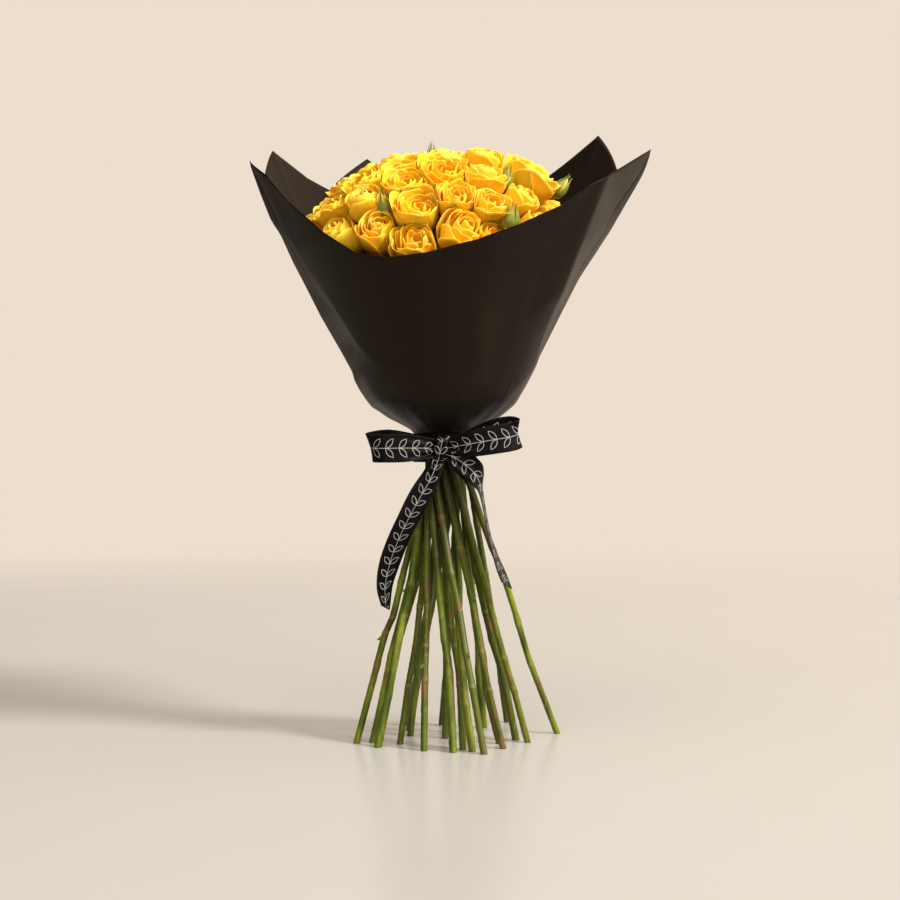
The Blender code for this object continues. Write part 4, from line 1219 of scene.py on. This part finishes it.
# Half height and half depth of the knot, how it leans, and how far its ends go in behind it
KNOT_TALL, KNOT_DEEP, KNOT_LEAN, KNOT_BACK = 0.0104, 0.0064, 0.16, 0.0054
TAIL_SLANT = 0.009
# Lines of the bow: x, y, z and width in mm, then the way that the width points
LEFT_LOOP = (
    (-5, -33, 234.5, 11, 0, 0, 1), (-15, -39.5, 235, 17, 0, 0.05, 1),
    (-31, -45, 235, 22, 0, 0.1, 1), (-48, -45.5, 234.8, 22.5, -0.08, 0.12, 1),
    (-58, -39.5, 235.2, 22.5, -0.28, 0.05, 1), (-56.5, -33, 237, 22.5, -0.3, 0, 1),
    (-44, -30.5, 238.5, 22.5, -0.12, 0, 1), (-28, -30.5, 238, 18, 0, 0, 1),
    (-15, -30, 236.2, 14, 0, 0, 1), (-5, -30, 234.5, 11, 0, 0, 1),
)
RIGHT_LOOP = (
    (0, -33.5, 234.5, 11, 0, 0, 1), (9.5, -39.5, 236.3, 16, -0.1, 0.03, 1),
    (24, -45, 239, 21, -0.16, 0.08, 1), (40, -47, 241.8, 22.5, -0.18, 0.1, 1),
    (52.5, -44, 244, 22.5, -0.18, 0.06, 1), (57.5, -39, 246.8, 22.5, -0.16, 0, 1),
    (51, -35, 249, 22.5, -0.2, -0.05, 1), (37, -34.5, 246.8, 21, -0.2, -0.05, 1),
    (20, -32.5, 241.5, 16, -0.12, 0, 1), (4, -30, 236, 11, 0, 0, 1),
)
LEFT_TAIL = (
    (-4, -33, 229, 10, 1, 0.1, 0), (-7, -36.5, 221.5, 12, 0.95, 0.15, -0.25),
    (-11.5, -39, 211, 15, 0.9, 0.25, -0.3), (-19.5, -39.5, 197, 20, 0.8, 0.5, -0.28),
    (-28.5, -37.5, 180, 22.5, 0.68, 0.66, -0.25), (-37.5, -32.5, 161, 22.5, 0.66, 0.68, -0.24),
    (-44, -27.5, 143, 22.5, 0.66, 0.7, -0.15), (-47.8, -23.5, 125, 22.5, 0.52, 0.84, -0.02),
    (-47.5, -21, 107.5, 22, 0.25, 0.96, 0.05),
)
RIGHT_TAIL = (
    (-1, -33.5, 230, 10, 0.3, 0, 1), (5.5, -38, 228.5, 14, 0.45, 0, 0.9),
    (13.5, -40, 223.8, 19, 0.5, 0, 0.85), (20.5, -40, 218, 20, 0.62, 0.1, 0.78),
    (25.5, -39.2, 211, 21, 0.5, 0.75, 0.42), (28.2, -37.8, 202.5, 22, 0.18, 0.98, 0.1),
    (31.5, -36, 185, 22.5, 0.1, 1, 0.03), (35, -35.2, 167, 22.5, 0.1, 1, 0.02),
    (39, -35.5, 152, 22.5, 0.14, 1, 0.05), (44, -36.5, 139, 22.5, 0.24, 0.97, 0.1),
    (49, -37.2, 126.5, 22, 0.24, 0.97, 0.1),
)


def smooth_rows(rows, steps):
    """Rows of a strip with points added on a smooth curve through them."""
    data = np.array(rows) / ((MM,) * 4 + (1.0,) * 3)
    ends = np.vstack((2 * data[0] - data[1], data, 2 * data[-1] - data[-2]))
    out = []
    for a, b, c, d in zip(ends, ends[1:], ends[2:], ends[3:]):
        for s in range(steps):
            t = s / steps
            out.append(0.5 * (2 * b + (c - a) * t + (2 * a - 5 * b + 4 * c - d) * t * t
                              + (3 * b - a - 3 * c + d) * t ** 3))
    out.append(ends[-2])
    return np.array(out)


def hand_over(piece, node):
    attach(piece, "root")
    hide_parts(node)


def ribbon_piece(name, line, wide, width, material, growth=1,
                 slant=0.0, pleats=3.0, dome=0.0):
    """Strip of ribbon on a line of points; growth is the way the vine points along it, slant is
    how far one corner of its end stands past the other, and dome how far its sides fall back."""
    along = headings(line)
    wide = wide - along * (wide * along).sum(axis=1)[:, None]
    wide /= np.linalg.norm(wide, axis=1)[:, None]
    normal = np.cross(along, wide)
    u = np.linspace(-1, 1, RIBBON_COLS)[None, :]
    gather = np.clip(1 - width / RIBBON_WIDTH, 0, 1)
    pleat = (PLEAT_DEPTH * gather ** 0.8)[:, None] * (
        np.cos(pleats * math.pi * u) + 0.25 * np.sin(2.2 * math.pi * u))
    points = (line[:, None, :] + (width[:, None] / 2 * u)[..., None] * wide[:, None, :]
              + (pleat + dome * u ** 2)[..., None] * normal[:, None, :])
    run = np.concatenate(([0.0], np.cumsum(np.linalg.norm(np.diff(line, axis=0), axis=1))))
    past = (slant / 2 * smooth_step(run[-1] - 0.022, run[-1], run))[:, None] * u
    points = points + past[..., None] * along[:, None, :]
    shape = Shape("run", "wide")
    add_sheet(shape, points, RIBBON_THICK, run=growth * (run[:, None] + past) + 1.0,
              wide=u * RIBBON_WIDTH / 2)
    piece = shape.build(name, material)
    hand_over(piece, "ribbon")


def ribbon_set(material):
    """The band round the tie, the knot over it, two loops and two tails."""
    for name, rows, held, growth, slant in (
            ("ribbon_left_loop", LEFT_LOOP, "gathered", -1, 0.0),
            ("ribbon_right_loop", RIGHT_LOOP, "gathered", -1, 0.0),
            ("ribbon_left_tail", LEFT_TAIL, "hung", -1, TAIL_SLANT),
            ("ribbon_right_tail", RIGHT_TAIL, "hung", 1, TAIL_SLANT)):
        data = smooth_rows(rows, 10)
        ribbon_piece(name, data[:, :3], data[:, 4:7], data[:, 3], material, growth, slant)
    turn = np.radians(np.linspace(0, 358, 91))
    radius = WAIST_BAND + 0.0004
    ring = np.stack((radius * np.sin(turn), -radius * np.cos(turn), WAIST_Z + 0 * turn), axis=1)
    up = np.tile((0.0, 0.0, 1.0), (len(turn), 1))
    ribbon_piece("ribbon_band", ring, up, np.full(len(turn), RIBBON_WIDTH), material)
    turn = np.radians(np.linspace(-155, 155, 61))
    line = np.stack((0 * turn, -KNOT_DEEP * np.cos(turn), KNOT_TALL * np.sin(turn)), axis=1)
    line = KNOT_CENTRE + line
    line[:, 1] = np.where(np.abs(turn) > 1.6,
                          np.minimum(line[:, 1], KNOT_CENTRE[1] + KNOT_BACK), line[:, 1])
    line[:, 0] += KNOT_LEAN * (line[:, 2] - KNOT_CENTRE[2])
    side = np.tile((1.0, 0.0, 0.20), (len(turn), 1))
    ribbon_piece("ribbon_knot", line, side, 0.0165 - 0.0015 * np.cos(turn), material,
                 pleats=2.2, dome=0.0034)


# Camera, light and floor

# Distant lights: azimuth (0 from the front, 90 from the right), elevation and spread in degrees,
# then power and colour
LIGHTS = (
    ("key", 60.0, 37.0, 16.0, 4.3, (1.0, 0.94, 0.84)),
    ("overhead", 12.0, 64.0, 90.0, 1.54, (1.0, 0.90, 0.76)),
    ("fill", -6.0, 44.0, 60.0, 1.60, (1.0, 0.91, 0.77)),
)
# Soft light of the room, the way that it comes from, and the backdrop
ROOM_COLOUR = (0.90, 0.75, 0.58, 1.0)
ROOM_FROM = (0.90, 0.36, 0.24)
BACKDROP = (0.847, 0.730, 0.610, 1.0)
CAMERA_PLACE = (0.004, -1.395, 0.2335)
LENS = 68.9
FLOOR_SIZE = 8.0


def set_camera(scene):
    data = bpy.data.cameras.new("camera")
    data.lens = LENS
    data.sensor_width = 36.0
    camera = bpy.data.objects.new("camera", data)
    camera.location = CAMERA_PLACE
    camera.rotation_euler = (math.radians(90), 0, 0)
    scene.collection.objects.link(camera)
    scene.camera = camera


def set_lights(scene):
    for name, azimuth, elevation, spread, power, colour in LIGHTS:
        light = bpy.data.lights.new(name, "SUN")
        light.angle = math.radians(spread)
        light.energy = power
        light.color = colour
        lamp = bpy.data.objects.new(name, light)
        lamp.rotation_euler = (math.radians(90 - elevation), 0, math.radians(azimuth))
        scene.collection.objects.link(lamp)


def set_world(scene):
    """Soft light that is brighter from the right, behind it a plain backdrop."""
    scene.world = bpy.data.worlds.new("pale_room")
    sky = Look(scene.world)
    heading = sky.node("ShaderNodeVectorMath", {
        0: sky.node("ShaderNodeTexCoord", {}, "Generated"), 1: ROOM_FROM,
    }, "Value", operation="DOT_PRODUCT")
    sky.feed(sky.tree.nodes["Background"], {
        "Color": ROOM_COLOUR, "Strength": sky.span(heading, -0.45, 0.85, 0.05, 0.90)})
    seen = sky.node("ShaderNodeBackground", {"Color": BACKDROP, "Strength": 1.0}, 0)
    sky.blend("World Output", sky.node("ShaderNodeLightPath", {}, "Is Camera Ray"),
              sky.present("Background"), seen)


def set_scene():
    scene = bpy.context.scene
    set_camera(scene)
    bpy.ops.mesh.primitive_plane_add(size=FLOOR_SIZE, location=(0, 0, 0))
    floor = bpy.context.object
    floor.name = "floor"
    floor.data.materials.append(floor_look())
    set_lights(scene)
    set_world(scene)
    scene.view_settings.view_transform = "Standard"


def build_sprays():
    """Flowers, stems and sepals of each spray, over its two solids."""
    petal, stem, leaf = petal_look(), bark_look(), leaf_look()
    faces, radii = settle_faces()
    thickness = [STEM_RADII[s % len(STEM_RADII)] for s in range(len(SPRAYS))]
    feet, waist = settle_stems(np.array(thickness))
    bloom_count = sum(len(blooms) for _, _, blooms in SPRAYS)
    walls = neighbour_walls(faces, radii, bloom_count)
    first = 0
    for s, (_, _, blooms) in enumerate(SPRAYS):
        last = first + len(blooms)
        buds = [(k, bud_place(faces[bloom_count + k], BUD_STAND[k]), bud[3] / MM)
                for k, bud in enumerate(BUDS) if bud[0] == s]
        petals = Shape("along", "rim", "layer", "across", "tone", "outer")
        bark = Shape("node", "cut", "tone", "high")
        sepals = Shape("along", "rim", "tone")
        for k in range(first, last):
            add_flower(petals, faces[k], radii[k], k, walls[k])
        add_stem(bark, sepals, s, feet[s], waist[s], faces[first:last], radii[first:last],
                 [place for _, place, _ in buds])
        for k, (tip, axis), width in buds:
            add_bud(sepals, petals, tip, axis, width, k)
        name = "spray_%02d" % (s + 1)
        hand_over(petals.build(name + "_petals", petal), name + "_roses")
        hand_over(bark.build(name + "_bark", stem), name + "_stem")
        hand_over(sepals.build(name + "_sepals", leaf), name + "_stem")
        first = last


def build_wrap():
    """Three sheets of paper, each a step further in."""
    paper = paper_look()
    for name, edge, depth in (("front", FRONT_EDGE, 0.0), ("back", BACK_EDGE, SHEET_STEP),
                              ("inner", INNER_EDGE, 2 * SHEET_STEP)):
        hand_over(paper_sheet("wrap_" + name, edge, depth, paper), "paper_" + name)


set_scene()
build_sprays()
build_wrap()
ribbon_set(ribbon_look())
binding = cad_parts["binding"].data.materials
binding.clear()
binding.append(twine_look())
